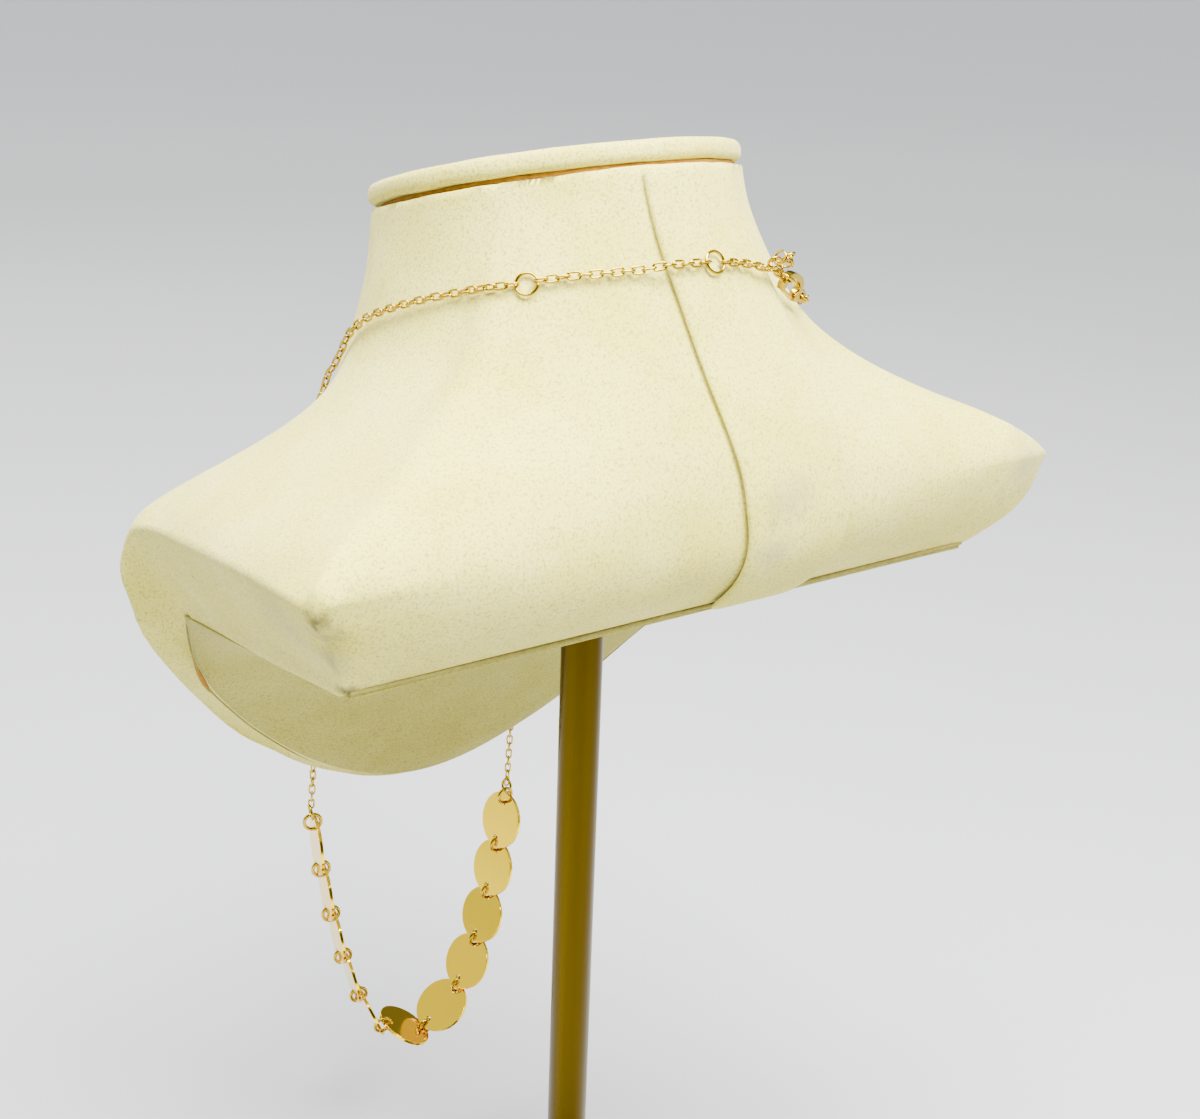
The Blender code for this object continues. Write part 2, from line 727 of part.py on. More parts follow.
def trimmed(path, first, last):
    path = cutBack(path, first)
    return cutBack(path[::-1], last)[::-1]


def thinned(path):
    """Few enough points that the tube's straight runs stay close to the path."""
    kept = [path[0]]
    i = 0
    while i < len(path) - 1:
        j = i + 1
        while j + 1 < len(path):
            run = path[j + 1] - path[i]
            sag = max((p - path[i]).cross(run).length / run.length for p in path[i + 1:j + 1])
            if sag > CHAIN_SAG or run.length > CHAIN_STEP:
                break
            j += 1
        kept.append(path[j])
        i = j
    return kept


def chainTube(name, path):
    curve = bpy.data.curves.new(name, "CURVE")
    curve.dimensions = "3D"
    curve.bevel_depth = CHAIN_WIDTH / 2 * MM
    curve.bevel_resolution = 2
    curve.use_fill_caps = True
    spline = curve.splines.new("POLY")
    points = thinned(path)
    spline.points.add(len(points) - 1)
    for k, p in enumerate(points):
        spline.points[k].co = (*world(p), 1)
    curve.materials.append(gold)
    obj = bpy.data.objects.new(name, curve)
    parts.objects.link(obj)
    return obj


def hangFrom(path, end):
    """Path carried on straight from the rim to a ring that hangs below it."""
    start = path[-1]
    steps = max(int((end - start).length), 2)
    return eased(path + [start.lerp(end, k / steps) for k in range(1, steps + 1)])


ringGap = EXT_RING_R + EXT_RING_WIRE / 2 + FIT_GAP
endGap = END_RING_R + END_RING_WIRE / 2 + FIT_GAP
chainTube("chain_near", trimmed(hangFrom(routePath(NEAR_ROUTE), endNear), ringGap, endGap))
chainTube("chain_extender", trimmed(routePath(EXTENDER_ROUTE), ringGap, ringGap))

extMesh = torusMesh("extender_ring", EXT_RING_R, EXT_RING_WIRE)
for name, spot in (("extender_ring_1", EXTENDER_ROUTE[0]), ("extender_ring_2", EXTENDER_ROUTE[-1])):
    normal = bustNormal(*spot)
    along = normal.orthogonal().normalized()
    at = overBust(*spot, EXT_RING_LIFT)
    hasMesh(name, extMesh, gold, placed(at, along, normal.cross(along), normal))

# The clasp's own frame: along runs from its tail to its nose, up stands off the suede.
# Its outlines are shares of its length and of half its width.
CLASP_OUTER = (
    (0.215, 0.42),
    (0.32, 0.80),
    (0.46, 1.00),
    (0.68, 0.95),
    (0.87, 0.69),
    (0.98, 0.22),
    (1.00, -0.22),
    (0.965, -0.62),
    (0.885, -0.86),
)
CLASP_INNER = (
    (0.845, -0.56),
    (0.875, -0.22),
    (0.835, 0.19),
    (0.69, 0.48),
    (0.475, 0.55),
    (0.355, 0.37),
    (0.325, 0.08),
    (0.36, -0.20),
    (0.315, -0.52),
    (0.27, -0.80),
    (0.20, -0.72),
    (0.19, -0.40),
)
LEVER_PIVOT = (0.365, -0.68)
LEVER_NOSE = (0.82, -0.74)
HELD_AT = (0.76, 0.08)    # where the clasp ring's wire lies in the hook

claspTop = overBust(*CLASP_ROUTE[-1], CLASP_LIFT)
claspTail = overBust(*FAR_ROUTE[0], CLASP_LIFT)
claspAlong = (claspTop - claspTail).normalized()
claspOff = bustNormal(*CLASP_ROUTE[-1]) + bustNormal(*FAR_ROUTE[0])
claspSide = claspAlong.cross(claspOff).normalized()
claspOff = claspSide.cross(claspAlong)
claspUp = claspOff * math.cos(rad(CLASP_TURN)) + claspSide * math.sin(rad(CLASP_TURN))
claspFlat = claspAlong.cross(claspUp)
claspStart = claspTop - claspAlong * (HELD_AT[0] * CLASP_LENGTH + CLASP_RING_R)


def claspPoint(share):
    return claspStart + claspAlong * (share[0] * CLASP_LENGTH) + claspUp * (share[1] * CLASP_WIDTH / 2)


def drawShares(curve, shares, origin=(0.0, 0.0)):
    spline = curve.splines.new("POLY")
    spline.points.add(len(shares) - 1)
    for k, (u, v) in enumerate(shares):
        x = (u - origin[0]) * CLASP_LENGTH
        y = (v - origin[1]) * CLASP_WIDTH / 2
        spline.points[k].co = (x * MM, y * MM, 0, 1)
    spline.use_cyclic_u = True


def makeClasp():
    lug = CLASP_LUG_DIA / 2
    lugShares = []
    for k in range(9):
        a = rad(-38.0 - 284.0 * k / 8)
        lugShares.append(((lug + lug * math.cos(a)) / CLASP_LENGTH, lug * math.sin(a) / (CLASP_WIDTH / 2)))
    body = flatCurve("clasp_body", CLASP_THICK)
    drawShares(body, tuple(lugShares) + CLASP_OUTER + CLASP_INNER)
    circle(body.splines.new("POLY"), CLASP_HOLE_DIA / 2, lug, 0, 10)
    body.materials.append(gold)
    obj = bpy.data.objects.new("clasp_body", body)
    obj.matrix_world = placed(claspStart, claspAlong, claspUp, claspFlat)
    parts.objects.link(obj)

    half = LEVER_WIDTH / 2
    run = ((LEVER_NOSE[0] - LEVER_PIVOT[0]) * CLASP_LENGTH, (LEVER_NOSE[1] - LEVER_PIVOT[1]) * CLASP_WIDTH / 2)
    reach = math.hypot(*run)
    heading = math.atan2(run[1], run[0])
    lever = flatCurve("clasp_lever", LEVER_THICK)
    spline = lever.splines.new("POLY")
    outline = [(half * math.cos(a), half * math.sin(a)) for a in (rad(90 + 45 * k) for k in range(5))]
    outline += [(reach, -half * 0.7), (reach + half * 0.5, 0.0), (reach, half * 0.7)]
    spline.points.add(len(outline) - 1)
    for k, (x, y) in enumerate(outline):
        spline.points[k].co = (x * MM, y * MM, 0, 1)
    spline.use_cyclic_u = True
    lever.materials.append(gold)
    obj = bpy.data.objects.new("clasp_lever", lever)
    turn = Matrix.Rotation(heading, 4, "Z")
    obj.matrix_world = placed(claspPoint(LEVER_PIVOT), claspAlong, claspUp, claspFlat) @ turn
    parts.objects.link(obj)


makeClasp()
claspRingAt = claspPoint(HELD_AT) + claspAlong * CLASP_RING_R
tailRingAt = claspPoint((0.0, 0.0)) + claspAlong * (CLASP_LUG_DIA / 2 - TAIL_RING_R)
hasMesh("clasp_ring", torusMesh("clasp_ring", CLASP_RING_R, CLASP_RING_WIRE), gold,
        placed(claspRingAt, claspAlong, claspFlat, claspAlong.cross(claspFlat)))
hasMesh("clasp_jump_ring", torusMesh("clasp_jump_ring", TAIL_RING_R, TAIL_RING_WIRE), gold,
        placed(tailRingAt, claspAlong, claspFlat, claspAlong.cross(claspFlat)))


def makeLoose():
    """The extender's last links, bunched over the clasp ring and joined as one solid."""
    middle = claspRingAt + Vector((0.0, 0.0, 1.0)) * LOOSE_RISE + claspAlong * LOOSE_CURL
    toEye = claspAlong.cross(claspOff)
    first = None
    for k in range(LOOSE_LINKS):
        a = 2 * math.pi * k / (LOOSE_LINKS + 1)
        spoke = claspOff * math.cos(a) + claspAlong * math.sin(a)
        run = claspAlong * math.cos(a) - claspOff * math.sin(a)
        side = spoke if k % 2 else toEye
        axis = (side + run * 0.3).normalized()
        u = axis.orthogonal().normalized()
        link = hasMesh("extender_tail" if k == 0 else f"loose_link_{k}",
                       torusMesh(f"loose_{k}", LOOSE_R, LOOSE_WIRE, 12, 6), gold,
                       placed(middle + spoke * LOOSE_CURL, u, axis.cross(u), axis),
                       parts if k == 0 else cutters)
        if k == 0:
            first = link
            continue
        link.hide_render = True
        link.display_type = "WIRE"
        union = first.modifiers.new("join", "BOOLEAN")
        union.operation = "UNION"
        union.solver = "EXACT"
        union.object = link


makeLoose()


def joinPath(path, end, share=0.25):
    """Path whose last stretch is drawn over to a ring that lies off it."""
    total = sum((path[i + 1] - path[i]).length for i in range(len(path) - 1))
    shift = end - path[-1]
    done = 0.0
    moved = [path[0]]
    for i in range(1, len(path)):
        done += (path[i] - path[i - 1]).length
        t = max((done / total - 1.0) / share + 1.0, 0.0)
        moved.append(path[i] + shift * (t * t * (3 - 2 * t)))
    return moved


claspGap = CLASP_RING_R + CLASP_RING_WIRE / 2 + FIT_GAP
tailGap = TAIL_RING_R + TAIL_RING_WIRE / 2 + FIT_GAP
toClasp = joinPath(routePath(CLASP_ROUTE), claspRingAt, 0.7)
chainTube("chain_to_clasp", trimmed(toClasp, ringGap, claspGap))
farPath = joinPath(routePath(FAR_ROUTE)[::-1], tailRingAt, 0.06)[::-1]
chainTube("chain_far", trimmed(hangFrom(farPath, endFar), tailGap, endGap))
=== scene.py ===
# Disc pendant necklace on a padded suede neck bust, seen from behind and above
import math
import bpy
import bmesh
import numpy as np
from mathutils import Matrix, Vector, noise
from mathutils.bvhtree import BVHTree


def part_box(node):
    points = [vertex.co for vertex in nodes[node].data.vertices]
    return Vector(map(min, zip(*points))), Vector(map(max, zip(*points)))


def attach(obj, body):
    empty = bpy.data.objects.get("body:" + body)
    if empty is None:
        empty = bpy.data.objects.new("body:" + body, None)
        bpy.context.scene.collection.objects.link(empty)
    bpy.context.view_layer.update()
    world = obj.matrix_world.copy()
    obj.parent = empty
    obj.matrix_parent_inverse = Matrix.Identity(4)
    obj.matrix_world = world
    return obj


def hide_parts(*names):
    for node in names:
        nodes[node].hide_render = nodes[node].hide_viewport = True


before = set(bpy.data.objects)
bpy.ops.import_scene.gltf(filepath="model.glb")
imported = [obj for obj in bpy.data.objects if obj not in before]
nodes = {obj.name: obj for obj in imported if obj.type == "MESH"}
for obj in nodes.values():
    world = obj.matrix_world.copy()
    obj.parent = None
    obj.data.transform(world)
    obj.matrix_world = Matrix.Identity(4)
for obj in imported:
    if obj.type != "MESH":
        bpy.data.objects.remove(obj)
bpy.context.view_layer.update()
mm = 0.001
stand = "necklace_and_stand"


# Node helpers

def newMaterial(name):
    mat = bpy.data.materials.new(name)
    mat.use_nodes = True
    return mat, mat.node_tree, mat.node_tree.nodes["Principled BSDF"]


def addNode(tree, kind, **settings):
    node = tree.nodes.new(kind)
    for key, value in settings.items():
        if hasattr(node, key):
            setattr(node, key, value)
        else:
            node.inputs[key].default_value = value
    return node


# ins and outs are rows of name, socket kind and value
def newGroup(name, ins, outs):
    tree = bpy.data.node_groups.new(name, "ShaderNodeTree")
    for label, kind, value in ins:
        socket = tree.interface.new_socket(label, in_out="INPUT", socket_type="NodeSocket" + kind)
        socket.default_value = value
    for label, kind in outs:
        tree.interface.new_socket(label, in_out="OUTPUT", socket_type="NodeSocket" + kind)
    return tree, tree.nodes.new("NodeGroupInput"), tree.nodes.new("NodeGroupOutput")


def ramp(tree, source, low, high, first=(0, 0, 0, 1), last=(1, 1, 1, 1)):
    node = tree.nodes.new("ShaderNodeValToRGB")
    node.color_ramp.elements[0].position = low
    node.color_ramp.elements[0].color = first
    node.color_ramp.elements[1].position = high
    node.color_ramp.elements[1].color = last
    tree.links.new(source, node.inputs["Fac"])
    return node.outputs["Color"]


def mixColor(tree, factor, a, b):
    node = tree.nodes.new("ShaderNodeMix")
    node.data_type = "RGBA"
    for socket, value in ((node.inputs[0], factor), (node.inputs[6], a), (node.inputs[7], b)):
        if isinstance(value, (int, float, tuple)):
            socket.default_value = value
        else:
            tree.links.new(value, socket)
    return node.outputs[2]


def maths(tree, operation, a, b=0.0):
    node = tree.nodes.new("ShaderNodeMath")
    node.operation = operation
    for socket, value in ((node.inputs[0], a), (node.inputs[1], b)):
        if isinstance(value, (int, float)):
            socket.default_value = value
        else:
            tree.links.new(value, socket)
    return node.outputs[0]


# Camera, floor and light

view = {
    "place": (0.20092, 0.28726, 0.35402),
    "heading": 144.49,      # degrees, turned from +Y
    "tilt": 68.75,          # 90 is level
    "roll": 2.08,
    "lens": 51.45,
}

bpy.ops.object.select_all(action="DESELECT")
bpy.ops.object.camera_add(location=view["place"])
camera = bpy.context.object
turn = Matrix.Rotation(math.radians(view["heading"]), 3, "Z")
turn = turn @ Matrix.Rotation(math.radians(view["tilt"]), 3, "X")
turn = turn @ Matrix.Rotation(math.radians(view["roll"]), 3, "Z")
camera.rotation_euler = turn.to_euler()
camera.data.lens = view["lens"]
camera.data.sensor_width = 36
camera.data.clip_start = 0.01
bpy.context.scene.camera = camera

studio = {
    "floorSize": 16.0,
    "floorNear": ((0.52, 0.53, 0.55, 1), (0.56, 0.57, 0.58, 1)),
    "floorAway": (0.95, 0.955, 0.96, 1),
    "floorRough": 0.7,
    "cloudScale": 3.0,
    "cloudRange": (0.3, 0.7),
    "paleFrom": 2.2,        # metres from the stand at which the floor is palest
    "paleRange": (0.15, 1.0),
    "sky": (0.86, 0.88, 0.92),
    "skyPower": 1.0,
    "cards": (
        # what the metal mirrors: direction in the sky, cosines of its outer and inner edge, tone
        ((0.54, 0.76, 0.36), 0.68, 0.86, (0.08, 0.08, 0.08)),
        ((-0.82, -0.56, 0.16), 0.78, 0.88, (0.20, 0.19, 0.16)),
        ((0.81, -0.55, 0.25), 0.72, 0.92, (1.20, 1.21, 1.23)),
        ((0.30, 0.50, 0.81), 0.985, 0.993, (9.0, 9.0, 8.8)),
    ),
    "lights": (
        # name, place, size, watts, colour
        ("keyLight", (-0.05, 0.42, 0.92), 0.5, 36.0, (1.0, 0.99, 0.96)),
        ("topLight", (0.18, 0.06, 0.95), 0.5, 20.0, (1.0, 0.99, 0.97)),
        ("chestLight", (0.20, -1.25, 0.85), 1.0, 4.5, (0.98, 0.99, 1.0)),
    ),
    "aim": (0.0, 0.0, 0.25),
}


def lightRoom():
    world = bpy.data.worlds.new("studio")
    bpy.context.scene.world = world
    world.use_nodes = True
    tree = world.node_tree
    back = tree.nodes["Background"]
    where = tree.nodes.new("ShaderNodeTexCoord").outputs["Generated"]
    tone = (*studio["sky"], 1)
    for direction, outer, inner, color in studio["cards"]:
        facing = addNode(tree, "ShaderNodeVectorMath", operation="DOT_PRODUCT")
        facing.inputs[1].default_value = Vector(direction).normalized()
        tree.links.new(where, facing.inputs[0])
        tone = mixColor(tree, ramp(tree, facing.outputs["Value"], outer, inner), tone, (*color, 1))
    tree.links.new(tone, back.inputs["Color"])
    back.inputs["Strength"].default_value = studio["skyPower"]
    for name, place, size, watts, color in studio["lights"]:
        bpy.ops.object.light_add(type="AREA", location=place)
        lamp = bpy.context.object
        lamp.name = name
        lamp.data.shape = "DISK"
        lamp.data.size = size
        lamp.data.energy = watts
        lamp.data.color = color
        away = Vector(studio["aim"]) - Vector(place)
        lamp.rotation_euler = away.to_track_quat("-Z", "Y").to_euler()


lightRoom()
print("camera and light are set")


# Groups that several finishes share

# Brushed nap of suede: soft blotches, short fibres and fine flecks
nap = {
    "stretch": (1.0, 1.0, 0.8),
    "blotchScale": 55.0,
    "blotchRange": (0.36, 0.66),
    "fibreScale": 3200.0,
    "fibreRange": (0.35, 0.65),
    "fibreShare": 0.65,
    "fleckScale": 1900.0,
    "fleckRange": (0.50, 0.64),
    "fleckShare": 0.75,
    "smoothest": 0.8,
    "roughSpread": 0.2,
    "heightShare": 0.5,
}


def makeNapGroup():
    tree, gin, gout = newGroup("suedeNap", (
        ("Vector", "Vector", (0, 0, 0)),
        ("Light", "Color", (0.9, 0.87, 0.65, 1)),
        ("Deep", "Color", (0.7, 0.66, 0.42, 1)),
        ("Fleck", "Color", (0.45, 0.42, 0.28, 1)),
    ), (("Color", "Color"), ("Rough", "Float"), ("Height", "Float")))
    stretch = addNode(tree, "ShaderNodeMapping")
    stretch.inputs["Scale"].default_value = nap["stretch"]
    tree.links.new(gin.outputs["Vector"], stretch.inputs["Vector"])
    blotch = addNode(tree, "ShaderNodeTexNoise", Scale=nap["blotchScale"], Detail=4.0, Roughness=0.6)
    fibre = addNode(tree, "ShaderNodeTexNoise", Scale=nap["fibreScale"], Detail=3.0, Roughness=0.7)
    fleck = addNode(tree, "ShaderNodeTexNoise", Scale=nap["fleckScale"], Detail=5.0, Roughness=0.75)
    tree.links.new(gin.outputs["Vector"], blotch.inputs["Vector"])
    tree.links.new(stretch.outputs["Vector"], fibre.inputs["Vector"])
    tree.links.new(stretch.outputs["Vector"], fleck.inputs["Vector"])
    soft = ramp(tree, blotch.outputs["Fac"], *nap["blotchRange"])
    tone = mixColor(tree, soft, gin.outputs["Light"], gin.outputs["Deep"])
    hairs = maths(tree, "MULTIPLY", ramp(tree, fibre.outputs["Fac"], *nap["fibreRange"]), nap["fibreShare"])
    tone = mixColor(tree, hairs, tone, gin.outputs["Deep"])
    dots = maths(tree, "MULTIPLY", ramp(tree, fleck.outputs["Fac"], *nap["fleckRange"]), nap["fleckShare"])
    tone = mixColor(tree, dots, tone, gin.outputs["Fleck"])
    tree.links.new(tone, gout.inputs["Color"])
    rough = maths(tree, "MULTIPLY", fibre.outputs["Fac"], nap["roughSpread"])
    rough = maths(tree, "ADD", rough, nap["smoothest"])
    tree.links.new(rough, gout.inputs["Rough"])
    height = maths(tree, "ADD", maths(tree, "MULTIPLY", fibre.outputs["Fac"], nap["heightShare"]),
                   maths(tree, "MULTIPLY", fleck.outputs["Fac"], nap["heightShare"]))
    tree.links.new(height, gout.inputs["Height"])
    return tree


# Soft uneven spot round a point of the object, for smudges, small marks and painted shade
blot = {
    "raggedScale": 260.0,
    "ragged": 0.9,
    "fade": (0.45, 1.30),
}


def makeSpotGroup():
    tree, gin, gout = newGroup("softSpot", (
        ("Vector", "Vector", (0, 0, 0)),
        ("Centre", "Vector", (0, 0, 0)),
        ("Radius", "Float", 0.01),
        ("Strength", "Float", 1.0),
    ), (("Mask", "Float"),))
    apart = addNode(tree, "ShaderNodeVectorMath", operation="DISTANCE")
    tree.links.new(gin.outputs["Vector"], apart.inputs[0])
    tree.links.new(gin.outputs["Centre"], apart.inputs[1])
    share = maths(tree, "DIVIDE", apart.outputs["Value"], gin.outputs["Radius"])
    ragged = addNode(tree, "ShaderNodeTexNoise", Scale=blot["raggedScale"], Detail=5.0, Roughness=0.7)
    tree.links.new(gin.outputs["Vector"], ragged.inputs["Vector"])
    share = maths(tree, "ADD", share, maths(tree, "MULTIPLY", ragged.outputs["Fac"], blot["ragged"]))
    mask = ramp(tree, share, *blot["fade"], (1, 1, 1, 1), (0, 0, 0, 1))
    tree.links.new(maths(tree, "MULTIPLY", mask, gin.outputs["Strength"]), gout.inputs["Mask"])
    return tree


# Fine polishing lines and small marks on metal
def makeWearGroup():
    tree, gin, gout = newGroup("polishMarks", (
        ("Vector", "Vector", (0, 0, 0)),
        ("Scale", "Float", 700.0),
        ("Smooth", "Float", 0.1),
        ("Spread", "Float", 0.12),
    ), (("Rough", "Float"), ("Height", "Float"), ("Tone", "Float")))
    lines = addNode(tree, "ShaderNodeTexNoise", Detail=4.0, Roughness=0.6)
    wide = addNode(tree, "ShaderNodeTexNoise", Scale=160.0, Detail=2.0)
    tree.links.new(gin.outputs["Vector"], lines.inputs["Vector"])
    tree.links.new(gin.outputs["Scale"], lines.inputs["Scale"])
    tree.links.new(gin.outputs["Vector"], wide.inputs["Vector"])
    both = maths(tree, "MULTIPLY", lines.outputs["Fac"], wide.outputs["Fac"])
    rough = maths(tree, "ADD", maths(tree, "MULTIPLY", both, gin.outputs["Spread"]), gin.outputs["Smooth"])
    tree.links.new(rough, gout.inputs["Rough"])
    tree.links.new(lines.outputs["Fac"], gout.inputs["Height"])
    tree.links.new(wide.outputs["Fac"], gout.inputs["Tone"])
    return tree


napGroup = makeNapGroup()
spotGroup = makeSpotGroup()
wearGroup = makeWearGroup()


def useGroup(tree, group, vector, **values):
    node = tree.nodes.new("ShaderNodeGroup")
    node.node_tree = group
    tree.links.new(vector, node.inputs["Vector"])
    for key, value in values.items():
        node.inputs[key].default_value = value
    return node


def addBump(tree, shader, height, strength, distance):
    bump = addNode(tree, "ShaderNodeBump")
    bump.inputs["Strength"].default_value = strength
    bump.inputs["Distance"].default_value = distance
    tree.links.new(height, bump.inputs["Height"])
    tree.links.new(bump.outputs["Normal"], shader.inputs["Normal"])


# Finishes

suede = {
    "light": (0.78, 0.72, 0.20, 1),
    "deep": (0.66, 0.595, 0.09, 1),
    "fleck": (0.27, 0.24, 0.04, 1),
    # The under colours are the cover's suede painted darker: painted shade of the board's face that turns
    # down
    "underPaintedShadeFleck": (0.13, 0.11, 0.012, 1),
    "underPaintedShadeLight": (0.47, 0.42, 0.085, 1),
    "underPaintedShadeDeep": (0.38, 0.335, 0.035, 1),
    # near-black at the pinched corner: painted shade of the pinch, partly a smudge
    "pinchShadeAndSmudge": (0.11, 0.095, 0.035, 1),
    "greyed": (0.33, 0.30, 0.16, 1),
    # near-black at the near end of the back seam: painted shade of the gap's corner, partly glue
    "seamCornerShadeAndGlue": (0.05, 0.04, 0.004, 1),
    "speck": (0.20, 0.12, 0.02, 1),
    "sheen": 0.25,
    "sheenRough": 0.45,
    "sheenTint": (1.0, 0.97, 0.85, 1),
    "specular": 0.15,
    "bump": 0.6,
    "grainDepth": 0.0005,
}


def suedeMaterial(name, spots=(), light="light", deep="deep", fleck="fleck"):
    mat, tree, shader = newMaterial(name)
    where = addNode(tree, "ShaderNodeTexCoord").outputs["Object"]
    cloth = useGroup(tree, napGroup, where, Light=suede[light], Deep=suede[deep], Fleck=suede[fleck])
    color = cloth.outputs["Color"]
    for centre, radius, strength, shade in spots:
        spot = useGroup(tree, spotGroup, where, Centre=[c * mm for c in centre], Radius=radius * mm,
                        Strength=strength)
        color = mixColor(tree, spot.outputs["Mask"], color, shade)
    tree.links.new(color, shader.inputs["Base Color"])
    tree.links.new(cloth.outputs["Rough"], shader.inputs["Roughness"])
    shader.inputs["Sheen Weight"].default_value = suede["sheen"]
    shader.inputs["Sheen Roughness"].default_value = suede["sheenRough"]
    shader.inputs["Sheen Tint"].default_value = suede["sheenTint"]
    shader.inputs["Specular IOR Level"].default_value = suede["specular"]
    addBump(tree, shader, cloth.outputs["Height"], suede["bump"], suede["grainDepth"])
    return mat


metals = {
    # gold of the chain, rings and clasp: the discs' gold painted darker, as painted shade
    "polished_gold_painted_shade": {
        "color": (0.62, 0.43, 0.008, 1),
        "deep": (0.36, 0.24, 0.003, 1),
        "smooth": 0.06,
        "spread": 0.10,
        "scale": 900.0,
        "stretch": (1, 1, 1),
        "depth": 0.00001,
    },
    "polished_gold_discs": {
        "color": (1.0, 0.69, 0.002, 1),
        "deep": (0.95, 0.63, 0.001, 1),
        "smooth": 0.09,
        "spread": 0.10,
        "scale": 500.0,
        "stretch": (1, 1, 1),
        "depth": 0.00001,
    },
    "brushed_brass": {
        "color": (0.10, 0.064, 0.0006, 1),
        "deep": (0.042, 0.025, 0.0003, 1),
        "smooth": 0.22,
        "spread": 0.30,
        "scale": 1500.0,
        "stretch": (1, 1, 0.02),
        "depth": 0.00003,
    },
}
wearBump = 0.2


def metalMaterial(name):
    look = metals[name]
    mat, tree, shader = newMaterial(name)
    where = addNode(tree, "ShaderNodeTexCoord").outputs["Object"]
    mapping = addNode(tree, "ShaderNodeMapping")
    mapping.inputs["Scale"].default_value = look["stretch"]
    tree.links.new(where, mapping.inputs["Vector"])
    wear = useGroup(tree, wearGroup, mapping.outputs["Vector"], Scale=look["scale"], Smooth=look["smooth"],
                    Spread=look["spread"])
    tone = mixColor(tree, wear.outputs["Tone"], look["color"], look["deep"])
    tree.links.new(tone, shader.inputs["Base Color"])
    tree.links.new(wear.outputs["Rough"], shader.inputs["Roughness"])
    shader.inputs["Metallic"].default_value = 1.0
    addBump(tree, shader, wear.outputs["Height"], wearBump, look["depth"])
    return mat


grains = {
    "raw_board": {
        "scale": 420.0,
        "detail": 5.0,
        "ragged": 0.7,
        "range": (0.3, 0.75),
        "colors": ((0.42, 0.20, 0.008, 1), (0.22, 0.09, 0.004, 1)),
        "rough": 0.9,
        "bump": 0.4,
        "depth": 0.0002,
    },
    # dark olive of the seam bars: partly glue, partly painted shade of the gaps they stand in
    "olive_glue_and_gap_shade": {
        "scale": 700.0,
        "detail": 4.0,
        "ragged": 0.5,
        "range": (0.3, 0.7),
        "colors": ((0.20, 0.17, 0.02, 1), (0.32, 0.27, 0.05, 1)),
        "rough": 0.8,
        "bump": 0.3,
        "depth": 0.0001,
    },
}


def grainMaterial(name):
    look = grains[name]
    mat, tree, shader = newMaterial(name)
    where = addNode(tree, "ShaderNodeTexCoord").outputs["Object"]
    grain = addNode(tree, "ShaderNodeTexNoise", Scale=look["scale"], Detail=look["detail"],
                    Roughness=look["ragged"])
    tree.links.new(where, grain.inputs["Vector"])
    tone = ramp(tree, grain.outputs["Fac"], *look["range"], *look["colors"])
    tree.links.new(tone, shader.inputs["Base Color"])
    shader.inputs["Roughness"].default_value = look["rough"]
    addBump(tree, shader, grain.outputs["Fac"], look["bump"], look["depth"])
    return mat


def floorMaterial():
    mat, tree, shader = newMaterial("pale_floor")
    where = addNode(tree, "ShaderNodeTexCoord").outputs["Object"]
    cloud = addNode(tree, "ShaderNodeTexNoise", Scale=studio["cloudScale"], Detail=3.0)
    tree.links.new(where, cloud.inputs["Vector"])
    near = ramp(tree, cloud.outputs["Fac"], *studio["cloudRange"], *studio["floorNear"])
    away = addNode(tree, "ShaderNodeVectorMath", operation="LENGTH")
    tree.links.new(where, away.inputs[0])
    share = maths(tree, "DIVIDE", away.outputs["Value"], studio["paleFrom"])
    share = ramp(tree, share, *studio["paleRange"])
    tree.links.new(mixColor(tree, share, near, studio["floorAway"]), shader.inputs["Base Color"])
    shader.inputs["Roughness"].default_value = studio["floorRough"]
    return mat


coverSpots = (
    # place on the bust in mm, radius, strength, shade
    # the two near-black spots at the pinched corner are painted shade of its dimple, partly a smudge
    ((86.8, 46.7, 238.4), 6.0, 1.0, suede["pinchShadeAndSmudge"]),
    ((84.5, 44.8, 234.5), 9.0, 0.6, suede["pinchShadeAndSmudge"]),
    ((82.0, 42.5, 228.5), 9.0, 0.6, suede["greyed"]),
    ((87.0, 30.0, 232.0), 22.0, 0.35, suede["greyed"]),
    # painted shade at the corner of the seam's gap, partly glue
    ((77.0, 38.3, 220.4), 4.5, 1.0, suede["seamCornerShadeAndGlue"]),
    ((84.9, -12.6, 226.1), 1.5, 0.8, suede["speck"]),
    ((-84.0, 46.5, 240.0), 19.0, 0.8, suede["greyed"]),
    ((-88.0, 34.0, 238.0), 15.0, 0.7, suede["greyed"]),
)
coverCloth = suedeMaterial("cream_suede_cover", coverSpots)
trimCloth = suedeMaterial("cream_suede_trim")
# Underside board: the cover's suede painted darker, as painted shade of the face that turns down
underShadedCloth = suedeMaterial("cream_suede_underside_painted_shade", (), "underPaintedShadeLight", "underPaintedShadeDeep", "underPaintedShadeFleck")
# The chain's gold is painted darker than the discs' gold, as painted shade
shadedGoldMetal = metalMaterial("polished_gold_painted_shade")
discMetal = metalMaterial("polished_gold_discs")
brassMetal = metalMaterial("brushed_brass")
rawBoard = grainMaterial("raw_board")
# the seam bars' olive is partly glue, partly painted shade of the gaps
glueAndGapShade = grainMaterial("olive_glue_and_gap_shade")

bpy.ops.mesh.primitive_plane_add(size=studio["floorSize"], location=(0, 0, 0))
floor = bpy.context.object
floor.name = "floor"
floor.data.materials.append(floorMaterial())
print("finishes are made")


# Mesh helpers

def pick(obj):
    bpy.ops.object.select_all(action="DESELECT")
    obj.select_set(True)
    bpy.context.view_layer.objects.active = obj


def newObject(name, data):
    obj = bpy.data.objects.new(name, data)
    bpy.context.scene.collection.objects.link(obj)
    return obj


